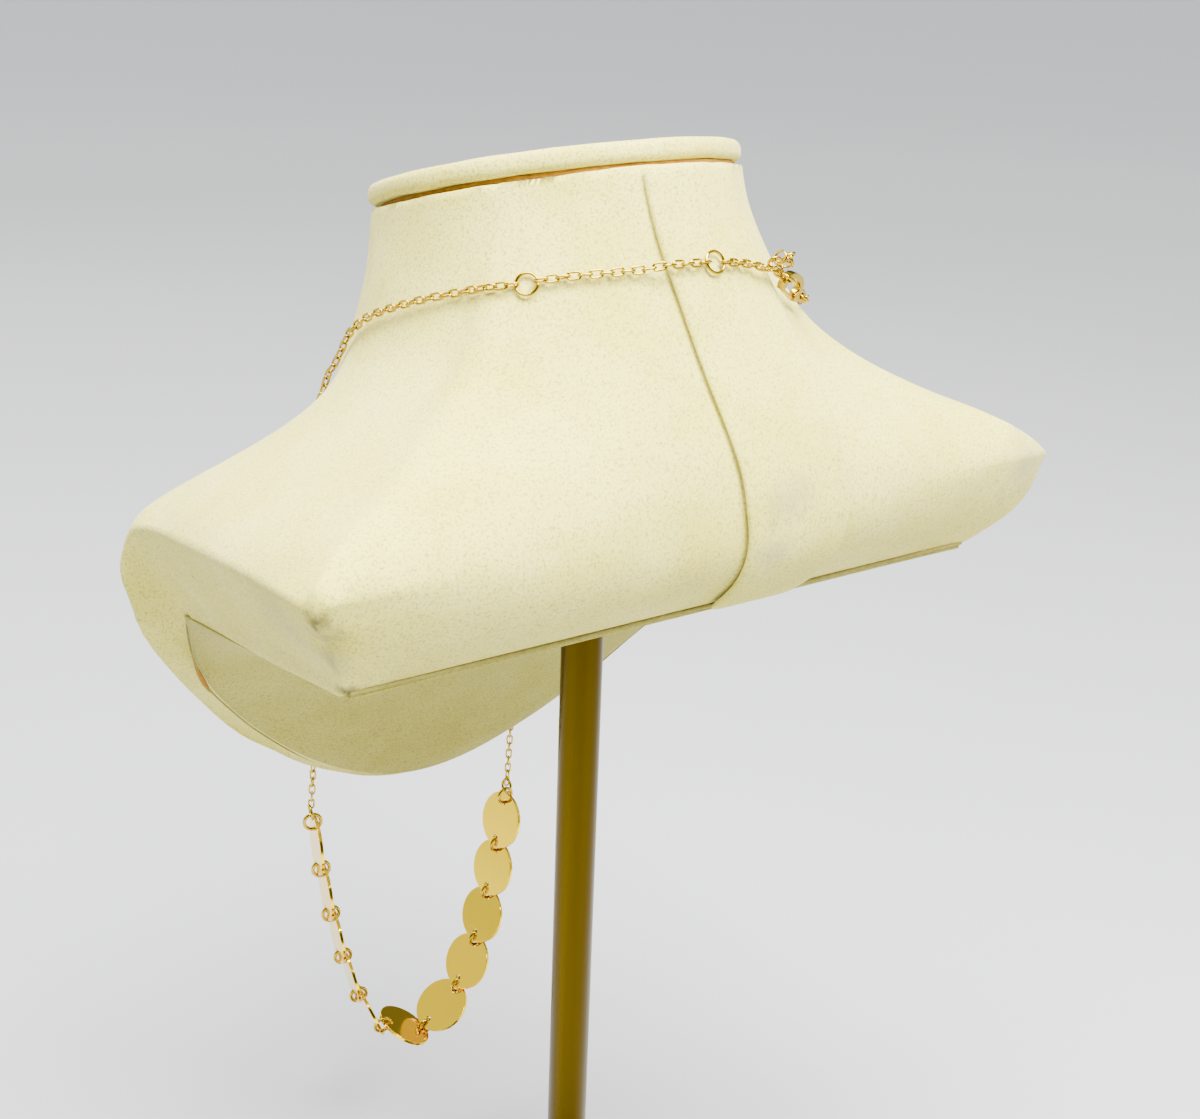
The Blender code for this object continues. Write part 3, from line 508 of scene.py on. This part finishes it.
# Sizes in mm; the object's own place stays at the origin, unturned
def cylinder(name, sides, radius, height, place=(0, 0, 0), turned=(0, 0, 0)):
    bpy.ops.object.select_all(action="DESELECT")
    bpy.ops.mesh.primitive_cylinder_add(vertices=sides, radius=radius * mm, depth=height * mm,
                                        location=Vector(place) * mm, rotation=turned)
    obj = bpy.context.object
    obj.name = name
    bpy.ops.object.transform_apply(location=True, rotation=True, scale=True)
    return obj


# Round ring at the origin: radius to the wire's middle and wire diameter in mm
def ringModel(sides, wireSides, radius, wire):
    bpy.ops.object.select_all(action="DESELECT")
    bpy.ops.mesh.primitive_torus_add(major_segments=sides, minor_segments=wireSides, major_radius=radius * mm,
                                     minor_radius=wire / 2 * mm)
    bpy.ops.object.shade_smooth()
    return bpy.context.object


# Rounds the edges that are sharper than angle; width in mm
def bevelled(obj, width, segments, angle=30, harden=False):
    edge = obj.modifiers.new("edge", "BEVEL")
    edge.width = width * mm
    edge.segments = segments
    edge.limit_method = "ANGLE"
    edge.angle_limit = math.radians(angle)
    edge.harden_normals = harden
    pick(obj)
    bpy.ops.object.modifier_apply(modifier=edge.name)


# Lays an object's X, Y and Z along three directions at a place
def layAlong(place, x, y, z):
    return Matrix.Translation(place) @ Matrix((x, y, z)).transposed().to_4x4()


# One object from copies of a model, one at each place; the model goes
def joinCopies(name, model, places):
    joined = bmesh.new()
    for place in places:
        mesh = model.data.copy()
        mesh.transform(place)
        joined.from_mesh(mesh)
        bpy.data.meshes.remove(mesh)
    piece = newObject(name, bpy.data.meshes.new(name))
    joined.to_mesh(piece.data)
    joined.free()
    bpy.data.objects.remove(model)
    return piece


joining = {
    "near": 0.00001,
    "flat": 45,             # degrees between the faces that join
    "square": 75,
}


# A merged copy of a CAD node's mesh, with its quads joined again
def nodeCopy(node, name):
    obj = newObject(name, nodes[node].data.copy())
    obj.data.materials.clear()
    pick(obj)
    bpy.ops.object.mode_set(mode="EDIT")
    bpy.ops.mesh.select_all(action="SELECT")
    bpy.ops.mesh.remove_doubles(threshold=joining["near"])
    bpy.ops.mesh.tris_convert_to_quads(face_threshold=math.radians(joining["flat"]),
                                       shape_threshold=math.radians(joining["square"]))
    bpy.ops.mesh.select_all(action="DESELECT")
    bpy.ops.object.mode_set(mode="OBJECT")
    return obj


def crease(obj, angle, amount):
    pick(obj)
    bpy.ops.object.mode_set(mode="EDIT")
    bpy.ops.mesh.select_mode(type="EDGE")
    bpy.ops.mesh.select_all(action="DESELECT")
    bpy.ops.mesh.edges_select_sharp(sharpness=math.radians(angle))
    bpy.ops.transform.edge_crease(value=amount)
    bpy.ops.mesh.select_all(action="DESELECT")
    bpy.ops.mesh.select_mode(type="VERT")
    bpy.ops.object.mode_set(mode="OBJECT")


def subdivided(obj, levels):
    smooth = obj.modifiers.new("smooth", "SUBSURF")
    smooth.levels = levels
    smooth.render_levels = levels
    pick(obj)
    bpy.ops.object.modifier_apply(modifier=smooth.name)
    bpy.ops.object.shade_smooth()


# Relaxes the points of a surface for which chosen is true
def relax(obj, chosen, times):
    pick(obj)
    bpy.ops.object.mode_set(mode="EDIT")
    bpy.ops.mesh.select_all(action="DESELECT")
    bm = bmesh.from_edit_mesh(obj.data)
    for v in bm.verts:
        v.select = chosen(v)
    bm.select_flush_mode()
    bmesh.update_edit_mesh(obj.data)
    bpy.ops.mesh.vertices_smooth(factor=0.5, repeat=times)
    bpy.ops.mesh.select_all(action="DESELECT")
    bpy.ops.object.mode_set(mode="OBJECT")


# Relaxes the surface away from its edges, so no facet of the frame shows; above top, in mm, it stays as it is
def easeFlats(obj, angle, times, top):
    def isFlat(v):
        bent = max((e.calc_face_angle(0.0) for e in v.link_edges), default=0.0)
        return bent < math.radians(angle) and v.co.z < top * mm

    relax(obj, isFlat, times)


# Moves the surface round a point, most at the point
def push(obj, centre, radius, move):
    centre = Vector(centre) * mm
    for v in obj.data.vertices:
        share = (v.co - centre).length / (radius * mm)
        if share < 1.0:
            v.co += Vector(move) * (mm * (1.0 - share * share) ** 2)


def offLine(point, first, last):
    run = last - first
    share = min(max((point - first).dot(run) / run.length_squared, 0.0), 1.0)
    return (point - first - run * share).length


# Moves the surface along a line of points, most at the line
def pushLine(obj, line, reach, move):
    line = [Vector(p) * mm for p in line]
    for v in obj.data.vertices:
        share = min(offLine(v.co, *pair) for pair in zip(line, line[1:])) / (reach * mm)
        if share < 1.0:
            v.co += Vector(move) * (mm * (1.0 - share * share) ** 2)


# Rounds the surface over along a line
def calmLine(obj, first, last, reach, times):
    first, last = Vector(first) * mm, Vector(last) * mm
    relax(obj, lambda v: offLine(v.co, first, last) < reach * mm, times)


# Slight unevenness of cloth over padding, size and height in mm; it dies out towards the lines in still
def roughen(obj, size, height, still=(), reach=8.0):
    lines = [(Vector(first) * mm, Vector(last) * mm) for first, last in still]
    normals = [v.normal.copy() for v in obj.data.vertices]
    for v, normal in zip(obj.data.vertices, normals):
        share = min([offLine(v.co, first, last) / (reach * mm) for first, last in lines] + [1.0])
        v.co += normal * (noise.noise(v.co / (size * mm)) * height * share * mm)


def finishPiece(obj, mat, slot, *replaced, body=stand):
    obj.data.materials.clear()
    obj.data.materials.append(mat)
    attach(obj, body)
    if replaced:
        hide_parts(*replaced)


# Middle and main directions of a CAD node, longest first
def spreadOf(node):
    points = np.array([v.co for v in nodes[node].data.vertices])
    points = np.unique(points.round(7), axis=0)
    middle = points.mean(0)
    values, axes = np.linalg.eigh(np.cov((points - middle).T))
    return Vector(middle), [Vector(axes[:, k]).normalized() for k in (2, 1, 0)]


def smoothPath(points, steps=14):
    path = []
    for i in range(len(points) - 1):
        a, b, c, d = (points[min(max(i + k, 0), len(points) - 1)] for k in (-1, 0, 1, 2))
        for k in range(steps):
            t = k / steps
            path.append(0.5 * (2 * b + (c - a) * t + (2 * a - 5 * b + 4 * c - d) * t * t
                               + (3 * b - a - 3 * c + d) * t ** 3))
    path.append(points[-1])
    return path


# Padded bust

bust = {
    "creaseAngle": 28,
    "crease": 0.45,
    "seamAngle": 65,
    "seamCrease": 0.4,
    "levels": 2,
    "flatAngle": 14,
    "easing": 10,
    "easeBelow": 286.0,
    "unevenSize": 16.0,
    "uneven": 0.35,
    "pushes": (
        # centre in mm, radius, move
        ((-84.0, 43.5, 230.0), 17.0, (-3.8, 1.4, -0.8)),    # far end stands fuller
        ((-80.0, 14.0, 226.0), 26.0, (-1.6, 0.0, -0.6)),
        ((90.0, -36.0, 226.0), 16.0, (1.2, -0.7, 0.1)),     # near chest corner stands fuller
        ((89.2, 48.2, 241.0), 4.6, (-1.9, -1.4, -2.3)),     # pinched corner
        ((84.5, 44.0, 232.0), 6.0, (-1.1, -1.1, 0.0)),
        ((79.0, 53.0, 240.0), 8.0, (0.0, -1.2, -0.6)),
    ),
    "lips": (
        # points along an edge, reach, move: the cover folds down over the board and is full at the chest
        (((77.2, 35.0, 219.6), (76.35, -33.0, 208.7)), 4.0, (0.5, 0.0, -1.5)),
        (((-77.2, 35.0, 219.6), (-76.35, -33.0, 208.7)), 4.0, (-0.5, 0.0, -1.5)),
        (((89.0, -40.0, 216.0), (74.0, -50.0, 189.0), (52.0, -60.0, 162.0)), 14.0, (1.0, -0.8, -0.2)),
        (((-89.0, -40.0, 216.0), (-74.0, -50.0, 189.0), (-52.0, -60.0, 162.0)), 14.0, (-1.0, -0.8, -0.2)),
    ),
    "rounds": (
        # ends of a soft corner, reach, times
        ((32.0, 14.0, 298.0), (12.0, 21.0, 302.0), 3.2, 5),
        ((88.0, -38.0, 220.0), (79.0, -38.5, 210.0), 14.0, 4),
        ((88.0, -38.0, 220.0), (79.0, -38.5, 210.0), 11.0, 6),
        ((88.0, -38.0, 220.0), (79.0, -38.5, 210.0), 8.0, 10),
        ((-88.0, -38.0, 220.0), (-79.0, -38.5, 210.0), 14.0, 4),
        ((-88.0, -38.0, 220.0), (-79.0, -38.5, 210.0), 11.0, 6),
        ((-88.0, -38.0, 220.0), (-79.0, -38.5, 210.0), 8.0, 10),
    ),
    "still": (
        ((77.3, 38.5, 220.0), (76.2, -38.5, 207.8)),
        ((-77.3, 38.5, 220.0), (-76.2, -38.5, 207.8)),
        ((77.3, 38.5, 220.0), (-77.3, 38.5, 220.0)),
    ),
}

cover = nodeCopy("bust_body", "suede_cover")
crease(cover, bust["creaseAngle"], bust["crease"])
crease(cover, bust["seamAngle"], bust["seamCrease"])
subdivided(cover, bust["levels"])
easeFlats(cover, bust["flatAngle"], bust["easing"], bust["easeBelow"])
for first, last, reach, times in bust["rounds"]:
    calmLine(cover, first, last, reach, times)
for centre, radius, move in bust["pushes"]:
    push(cover, centre, radius, move)
for line, reach, move in bust["lips"]:
    pushLine(cover, line, reach, move)
roughen(cover, bust["unevenSize"], bust["uneven"], bust["still"])
finishPiece(cover, coverCloth, "suede", "bust_body")

capShape = {
    "levels": 2,
    "unevenSize": 9.0,
    "uneven": 0.2,
}
cap = nodeCopy("neck_cap", "padded_cap")
subdivided(cap, capShape["levels"])
roughen(cap, capShape["unevenSize"], capShape["uneven"])
finishPiece(cap, trimCloth, "suede", "neck_cap")

stripShape = {
    "creaseAngle": 50,
    "crease": 0.2,
    "levels": 2,
    "unevenSize": 12.0,
    "uneven": 0.25,
}
stripSpots = (
    # place on the strip in mm, radius, strength, shade
    ((-12.0, 52.0, 245.0), 13.0, 0.6, suede["greyed"]),
    ((-8.0, 52.5, 235.0), 11.0, 0.55, suede["greyed"]),
    ((-2.0, 49.8, 254.0), 1.6, 0.8, suede["speck"]),
)
stripCloth = suedeMaterial("cream_suede_strip", stripSpots)
strip = nodeCopy("back_band", "folded_strip")
crease(strip, stripShape["creaseAngle"], stripShape["crease"])
subdivided(strip, stripShape["levels"])
roughen(strip, stripShape["unevenSize"], stripShape["uneven"])
finishPiece(strip, stripCloth, "suede", "back_band")


# Board below the bust
panelShape = {
    "creaseAngle": 50,
    "crease": 0.85,
    "levels": 2,
    "chestAt": -36.0,       # Y from which the rim goes round the chest
}


# Points along the board's edge round the chest, from the near side to the far side, with the way outwards
def boardRim(obj):
    bm = bmesh.new()
    bm.from_mesh(obj.data)
    rim = []
    for v in bm.verts:
        under = [f.normal for f in v.link_faces if f.normal.y > 0.1 and f.normal.z < -0.1]
        walls = [f.normal for f in v.link_faces if f.normal.y <= 0.1]
        bent = max((e.calc_face_angle(0.0) for e in v.link_edges), default=0.0)
        isEdge = under and walls and bent > math.radians(panelShape["creaseAngle"])
        if isEdge and v.co.y < panelShape["chestAt"] * mm:
            down = sum(under, Vector()).normalized()
            out = sum(walls, Vector()).normalized()
            rim.append((v.co.copy(), down, out))
    bm.free()
    return sorted(rim, key=lambda row: -math.atan2(row[0].y, row[0].x))


panel = nodeCopy("underside_panel", "underside_board")
rimRows = boardRim(panel)
crease(panel, panelShape["creaseAngle"], panelShape["crease"])
subdivided(panel, panelShape["levels"])
# The board's suede is painted darker, as painted shade
finishPiece(panel, underShadedCloth, "suede", "underside_panel")
print("suede pieces are done")


# Raw board that shows as a thin line under the cap
neckBoard = {
    "radius": 37.3,
    "thick": 0.9,
    "squash": 0.98,
    "middle": (-0.25, -14.4, 295.6),
    "lift": 0.55,
    "tilt": 15.8,
    "sides": 96,
    "edge": 0.15,
}
board = cylinder("neck_board", neckBoard["sides"], neckBoard["radius"], neckBoard["thick"])
board.scale.y = neckBoard["squash"]
board.rotation_euler.x = math.radians(neckBoard["tilt"])
tiltTurn = Matrix.Rotation(math.radians(neckBoard["tilt"]), 3, "X")
board.location = Vector(neckBoard["middle"]) * mm + tiltTurn @ Vector((0, 0, neckBoard["lift"] * mm))
bpy.ops.object.transform_apply(location=True, rotation=True, scale=True)
bevelled(board, neckBoard["edge"], 2)
finishPiece(board, rawBoard, "suede")


# Olive line where the cover's back edge meets the board below: a dark bar, partly the glued board edge and
# partly painted shade of the seam's groove
seam = {
    "ends": ((76.8, 38.3, 219.8), (-76.8, 38.3, 219.8)),
    "radius": 0.45,
    "sides": 12,
    "edge": 0.2,
    "smoothAngle": 50,
}


def makeSeam():
    first, last = (Vector(end) for end in seam["ends"])
    piece = cylinder("seam_line", seam["sides"], seam["radius"], (last - first).length, (first + last) / 2,
                     (0, math.pi / 2, 0))
    bevelled(piece, seam["edge"], 2)
    bpy.ops.object.shade_smooth_by_angle(angle=math.radians(seam["smoothAngle"]))
    finishPiece(piece, glueAndGapShade, "suede")


makeSeam()


# Thin dark line round the board on the chest's side, a bar that is painted shade of the gap at the board's
# edge, with raw board showing in one short stretch
rimLine = {
    "radius": 0.2,
    "from": 36.0,           # mm off the middle, where the line comes round the chest's tip
    "out": 0.2,
    "sunk": 0.08,
    "rawFrom": -30.0,       # degrees round the pole
    "rawTo": -34.5,
    "rawRadius": 0.55,
    "rawOut": 0.45,
    "steps": 6,
    "rawSteps": 8,
    "least": 0.1,           # share of the radius at an end of the line, and how fast it grows
    "growth": 0.15,
    "rawLeast": 0.02,
}


def makeBead(name, rows, mat):
    shape = bpy.data.curves.new(name, "CURVE")
    shape.dimensions = "3D"
    shape.bevel_depth = 1.0
    shape.bevel_resolution = 3
    shape.use_fill_caps = True
    line = shape.splines.new("POLY")
    line.points.add(len(rows) - 1)
    for point, (place, radius) in zip(line.points, rows):
        point.co = (*place, 1.0)
        point.radius = radius * mm
    piece = newObject(name, shape)
    pick(piece)
    bpy.ops.object.convert(target="MESH")
    piece = bpy.context.object
    bpy.ops.object.shade_smooth()
    finishPiece(piece, mat, "suede")


# The board's edge as a path that stands out from it
def rimPath(out, steps):
    sunk = rimLine["sunk"] * mm
    return smoothPath([place + away * out * mm - down * sunk for place, down, away in rimRows], steps)


def makeRimLine():
    path = rimPath(rimLine["out"], rimLine["steps"])
    for name, side in (("rim_line_near", 1), ("rim_line_far", -1)):
        part = [p for p in path if p.x * side > rimLine["from"] * mm]
        rows = []
        for k, place in enumerate(part):
            share = rimLine["least"] + rimLine["growth"] * min(k, len(part) - 1 - k)
            rows.append((place, min(1.0, share) * rimLine["radius"]))
        makeBead(name, rows, glueAndGapShade)
    raw = []
    for place in rimPath(rimLine["rawOut"], rimLine["rawSteps"]):
        turned = math.degrees(math.atan2(place.y, place.x))
        share = (turned - rimLine["rawFrom"]) / (rimLine["rawTo"] - rimLine["rawFrom"])
        if 0.0 < share < 1.0:
            raw.append((place, rimLine["rawRadius"] * math.sin(math.pi * share) + rimLine["rawLeast"]))
    makeBead("raw_edge", raw, rawBoard)


makeRimLine()


# Brass pole and foot
brass = {
    "sides": 128,
    "poleR": 4.75,
    "footR": 55.0,
    "footThick": 8.0,
    "footEdge": 0.6,
    "seatR": 5.15,
    "seatDepth": 5.0,
    "poleEdge": 0.3,
    "smoothAngle": 35,
}


def makePole():
    low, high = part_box("pole")
    middle = (0, 0, (low.z + high.z) / 2 / mm)
    pole = cylinder("brass_pole", brass["sides"], brass["poleR"], (high.z - low.z) / mm, middle)
    bevelled(pole, brass["poleEdge"], 3)
    bpy.ops.object.shade_smooth_by_angle(angle=math.radians(brass["smoothAngle"]))
    finishPiece(pole, brassMetal, "stand_brass", "pole")


# Selects the highest face in edit mode
def topFace(obj):
    bm = bmesh.from_edit_mesh(obj.data)
    bm.faces.ensure_lookup_table()
    best = max(bm.faces, key=lambda f: (round(f.normal.z, 3), -f.calc_center_median().length))
    for f in bm.faces:
        f.select = f is best
    bmesh.update_edit_mesh(obj.data)


def makeFoot():
    thick = brass["footThick"]
    foot = cylinder("brass_foot", brass["sides"], brass["footR"], thick, (0, 0, thick / 2))
    bpy.ops.object.mode_set(mode="EDIT")
    bpy.ops.mesh.select_mode(type="FACE")
    bpy.ops.mesh.select_all(action="DESELECT")
    topFace(foot)
    bpy.ops.mesh.inset(thickness=(brass["footR"] - brass["seatR"]) * mm, depth=0)
    bpy.ops.mesh.extrude_region_move(TRANSFORM_OT_translate={"value": (0, 0, -brass["seatDepth"] * mm)})
    bpy.ops.mesh.select_mode(type="VERT")
    bpy.ops.object.mode_set(mode="OBJECT")
    bevelled(foot, brass["footEdge"], 4, 60)
    bpy.ops.object.shade_smooth_by_angle(angle=math.radians(brass["smoothAngle"]))
    finishPiece(foot, brassMetal, "stand_brass", "base_plate")


makePole()
makeFoot()
print("stand is done")


# Discs
disc = {
    "count": 11,
    "radius": 7.9,
    "thick": 0.9,
    "holeR": 0.8,
    "holeAt": 5.41,
    "edge": 0.16,
    "sides": 96,
    "holeSides": 32,
    "inner": 0.88,          # share of the radius within which a CAD disc's points belong to its holes
}


# One disc flat at the origin, with a hole near each end of Y
def makeDisc():
    model = cylinder("disc_model", disc["sides"], disc["radius"], disc["thick"])
    for side in (-1, 1):
        punch = cylinder("punch", disc["holeSides"], disc["holeR"], disc["thick"] * 3,
                         (0, side * disc["holeAt"], 0))
        hole = model.modifiers.new("hole", "BOOLEAN")
        hole.operation = "DIFFERENCE"
        hole.solver = "EXACT"
        hole.object = punch
        pick(model)
        bpy.ops.object.modifier_apply(modifier=hole.name)
        bpy.data.objects.remove(punch)
    bpy.ops.object.shade_smooth_by_angle(angle=math.radians(30))
    bevelled(model, disc["edge"], 3, 40, harden=True)
    return model


# Matrix of a CAD disc: Z off its face and Y through its two holes
def discPlace(node):
    middle, axes = spreadOf(node)
    normal = axes[2]
    along = Vector((0, 0, 0))
    for v in nodes[node].data.vertices:
        off = v.co - middle
        if off.length < disc["radius"] * disc["inner"] * mm:
            along += off if along.length == 0 or off.dot(along) > 0 else -off
    along = (along - normal * along.dot(normal)).normalized()
    return layAlong(middle, along.cross(normal), along, normal)


def makeDiscs():
    model = makeDisc()
    for k in range(1, disc["count"] + 1):
        piece = newObject(f"gold_disc_{k:02d}", model.data.copy())
        piece.data.transform(discPlace(f"disc_{k:02d}"))
        finishPiece(piece, discMetal, "gold", f"disc_{k:02d}")
    bpy.data.objects.remove(model)


makeDiscs()


# Round rings, each at the place of its CAD ring
ringKinds = {
    # node prefix: radius to the wire's middle, wire diameter in mm
    "jump_ring": (2.18, 0.95),
    "end_ring": (1.85, 0.75),
    "extender_ring": (2.15, 0.65),
    "clasp_ring": (2.0, 0.65),
    "clasp_jump_ring": (1.75, 0.5),
}
ringSides = (56, 14)        # round the ring, round the wire


def makeRings():
    for prefix, (radius, wire) in ringKinds.items():
        model = ringModel(*ringSides, radius, wire)
        for node in sorted(nodes):
            if node.startswith(prefix):
                piece = newObject("gold_" + node, model.data.copy())
                middle, axes = spreadOf(node)
                piece.data.transform(layAlong(middle, axes[0], axes[1], axes[0].cross(axes[1])))
                finishPiece(piece, shadedGoldMetal, "gold", node)
        bpy.data.objects.remove(model)


makeRings()
print("discs and rings are done")


# Clasp and its lever, with softened edges
clasp = {
    "edge": 0.8,
    "leverEdge": 0.3,
    "flat": 2,              # degrees under which the frame's faces are one
    "sharp": 50,
}


def soften(node, name, width, body):
    obj = nodeCopy(node, name)
    bpy.ops.object.mode_set(mode="EDIT")
    bpy.ops.mesh.select_all(action="SELECT")
    bpy.ops.mesh.dissolve_limited(angle_limit=math.radians(clasp["flat"]))
    bpy.ops.object.mode_set(mode="OBJECT")
    bevelled(obj, width, 5, clasp["sharp"])
    bpy.ops.object.shade_smooth()
    finishPiece(obj, shadedGoldMetal, "gold", node, body=body)


soften("clasp_body", "gold_clasp", clasp["edge"], stand)
soften("clasp_lever", "gold_clasp_lever", clasp["leverEdge"], "lever")


# Chain of oval links
link = {
    "width": 1.9,
    "length": 3.1,
    "wire": 0.5,
    "pitch": 2.12,
    "sides": 20,
    "wireSides": 8,
    "tubeGap": 0.8,         # the points of one ring of a CAD tube lie closer than this
    "hookPlay": 0.05,
    "turnRun": 12.0,        # run from an end over which the links turn to their own lie
}


# One oval link at the origin: its length along X, its face along Z
def makeLink():
    model = ringModel(link["sides"], link["wireSides"], (link["width"] - link["wire"]) / 2, link["wire"])
    stretch = (link["length"] - link["width"]) / 2 * mm
    for v in model.data.vertices:
        if abs(v.co.x) > 1e-6:
            v.co.x += math.copysign(stretch, v.co.x)
    return model


# Middles of a CAD tube's rings, in order from the end nearest to start
def tubeMiddles(node, start):
    points = np.unique(np.array([v.co for v in nodes[node].data.vertices]).round(7), axis=0)
    left = set(range(len(points)))
    middles = []
    while left:
        group = [left.pop()]
        for k in group:
            near = [j for j in left if np.linalg.norm(points[j] - points[k]) < link["tubeGap"] * mm]
            left.difference_update(near)
            group.extend(near)
        middles.append(Vector(points[group].mean(0)))
    ordered = []
    at = start
    while middles:
        nearest = min(middles, key=lambda p: (p - at).length)
        middles.remove(nearest)
        ordered.append(nearest)
        at = nearest
    return ordered


coverTree = BVHTree.FromPolygons([v.co for v in cover.data.vertices],
                                 [p.vertices for p in cover.data.polygons])


# Real links along a CAD tube, hooked through a ring at each end
def layLinks(name, node, firstRing, lastRing, twist, firstRun, lastRun):
    first, firstAxes = spreadOf(firstRing)
    last, lastAxes = spreadOf(lastRing)
    points = tubeMiddles(node, first)
    reach = []
    for ringNode, middle, end in ((firstRing, first, points[0]), (lastRing, last, points[-1])):
        radius, wire = next(size for prefix, size in ringKinds.items() if ringNode.startswith(prefix))
        inner = (radius - wire / 2 - link["hookPlay"]) * mm
        reach.append(middle + (end - middle).normalized() * inner)
    path = smoothPath([reach[0]] + points + [reach[1]])
    runs = [0.0]
    for i in range(1, len(path)):
        runs.append(runs[-1] + (path[i] - path[i - 1]).length)
    total = runs[-1]
    count = math.ceil(total / (link["pitch"] * mm))
    count += 1 - count % 2      # the first and last link stand the same way
    pitch = total / count

    def pointAt(s):
        s = min(max(s, 0.0), total)
        i = min(max(int(np.searchsorted(runs, s)), 1), len(path) - 1)
        span = max(runs[i] - runs[i - 1], 1e-12)
        return path[i - 1].lerp(path[i], (s - runs[i - 1]) / span)

    def eased(t):
        t = min(max(t, 0.0), 1.0)
        return t * t * (3 - 2 * t)

    turnRun = link["turnRun"] * mm
    places = []
    for k in range(count):
        s = (k + 0.5) * pitch
        at = pointAt(s)
        along = (pointAt(s + pitch / 2) - pointAt(s - pitch / 2)).normalized()
        face = coverTree.find_nearest(at)[1]
        nearness = (1 - s / (firstRun * mm), 1 - (total - s) / (lastRun * mm))
        for ring, share in zip((firstAxes[2], lastAxes[2]), nearness):
            if share > 0:
                axis = ring if ring.dot(face) >= 0 else -ring
                face = face.lerp(axis, eased(share * 2))
        face = (face - along * face.dot(along)).normalized()
        turned = math.radians(twist) * eased(s / turnRun) * eased((total - s) / turnRun)
        turned += math.pi / 2 if k % 2 == 0 else 0.0
        face = Matrix.Rotation(turned, 3, along) @ face
        places.append(layAlong(at, along, face.cross(along), face))
    piece = joinCopies(name, makeLink(), places)
    finishPiece(piece, shadedGoldMetal, "gold", node)
    print(name, count, "links,", round(total * 1000, 1), "mm")


layLinks("near_chain_links", "chain_near", "extender_ring_1", "end_ring_near", 45, 8, 30)
layLinks("extender_links", "chain_extender", "extender_ring_1", "extender_ring_2", 14, 8, 8)
layLinks("clasp_chain_links", "chain_to_clasp", "extender_ring_2", "clasp_ring", 10, 5, 5)
layLinks("far_chain_links", "chain_far", "clasp_jump_ring", "end_ring_far", 45, 8, 30)


# Loose links bunched at the clasp
loose = {
    "count": 6,
    "radius": 1.28,
    "wire": 0.55,
    "curl": 1.75,
    "lean": 0.3,
    "drop": 1.4,
    "sides": (28, 10),
}


def makeLoose():
    middle, axes = spreadOf("extender_tail")
    middle.z -= loose["drop"] * mm
    places = []
    for k in range(loose["count"]):
        a = 2 * math.pi * k / loose["count"]
        spoke = axes[0] * math.cos(a) + axes[1] * math.sin(a)
        run = axes[1] * math.cos(a) - axes[0] * math.sin(a)
        axis = ((spoke if k % 2 else axes[2]) + run * loose["lean"]).normalized()
        side = axis.orthogonal().normalized()
        places.append(layAlong(middle + spoke * loose["curl"] * mm, side, axis.cross(side), axis))
    piece = joinCopies("loose_links", ringModel(*loose["sides"], loose["radius"], loose["wire"]), places)
    finishPiece(piece, shadedGoldMetal, "gold", "extender_tail")


makeLoose()
print("chain is done")
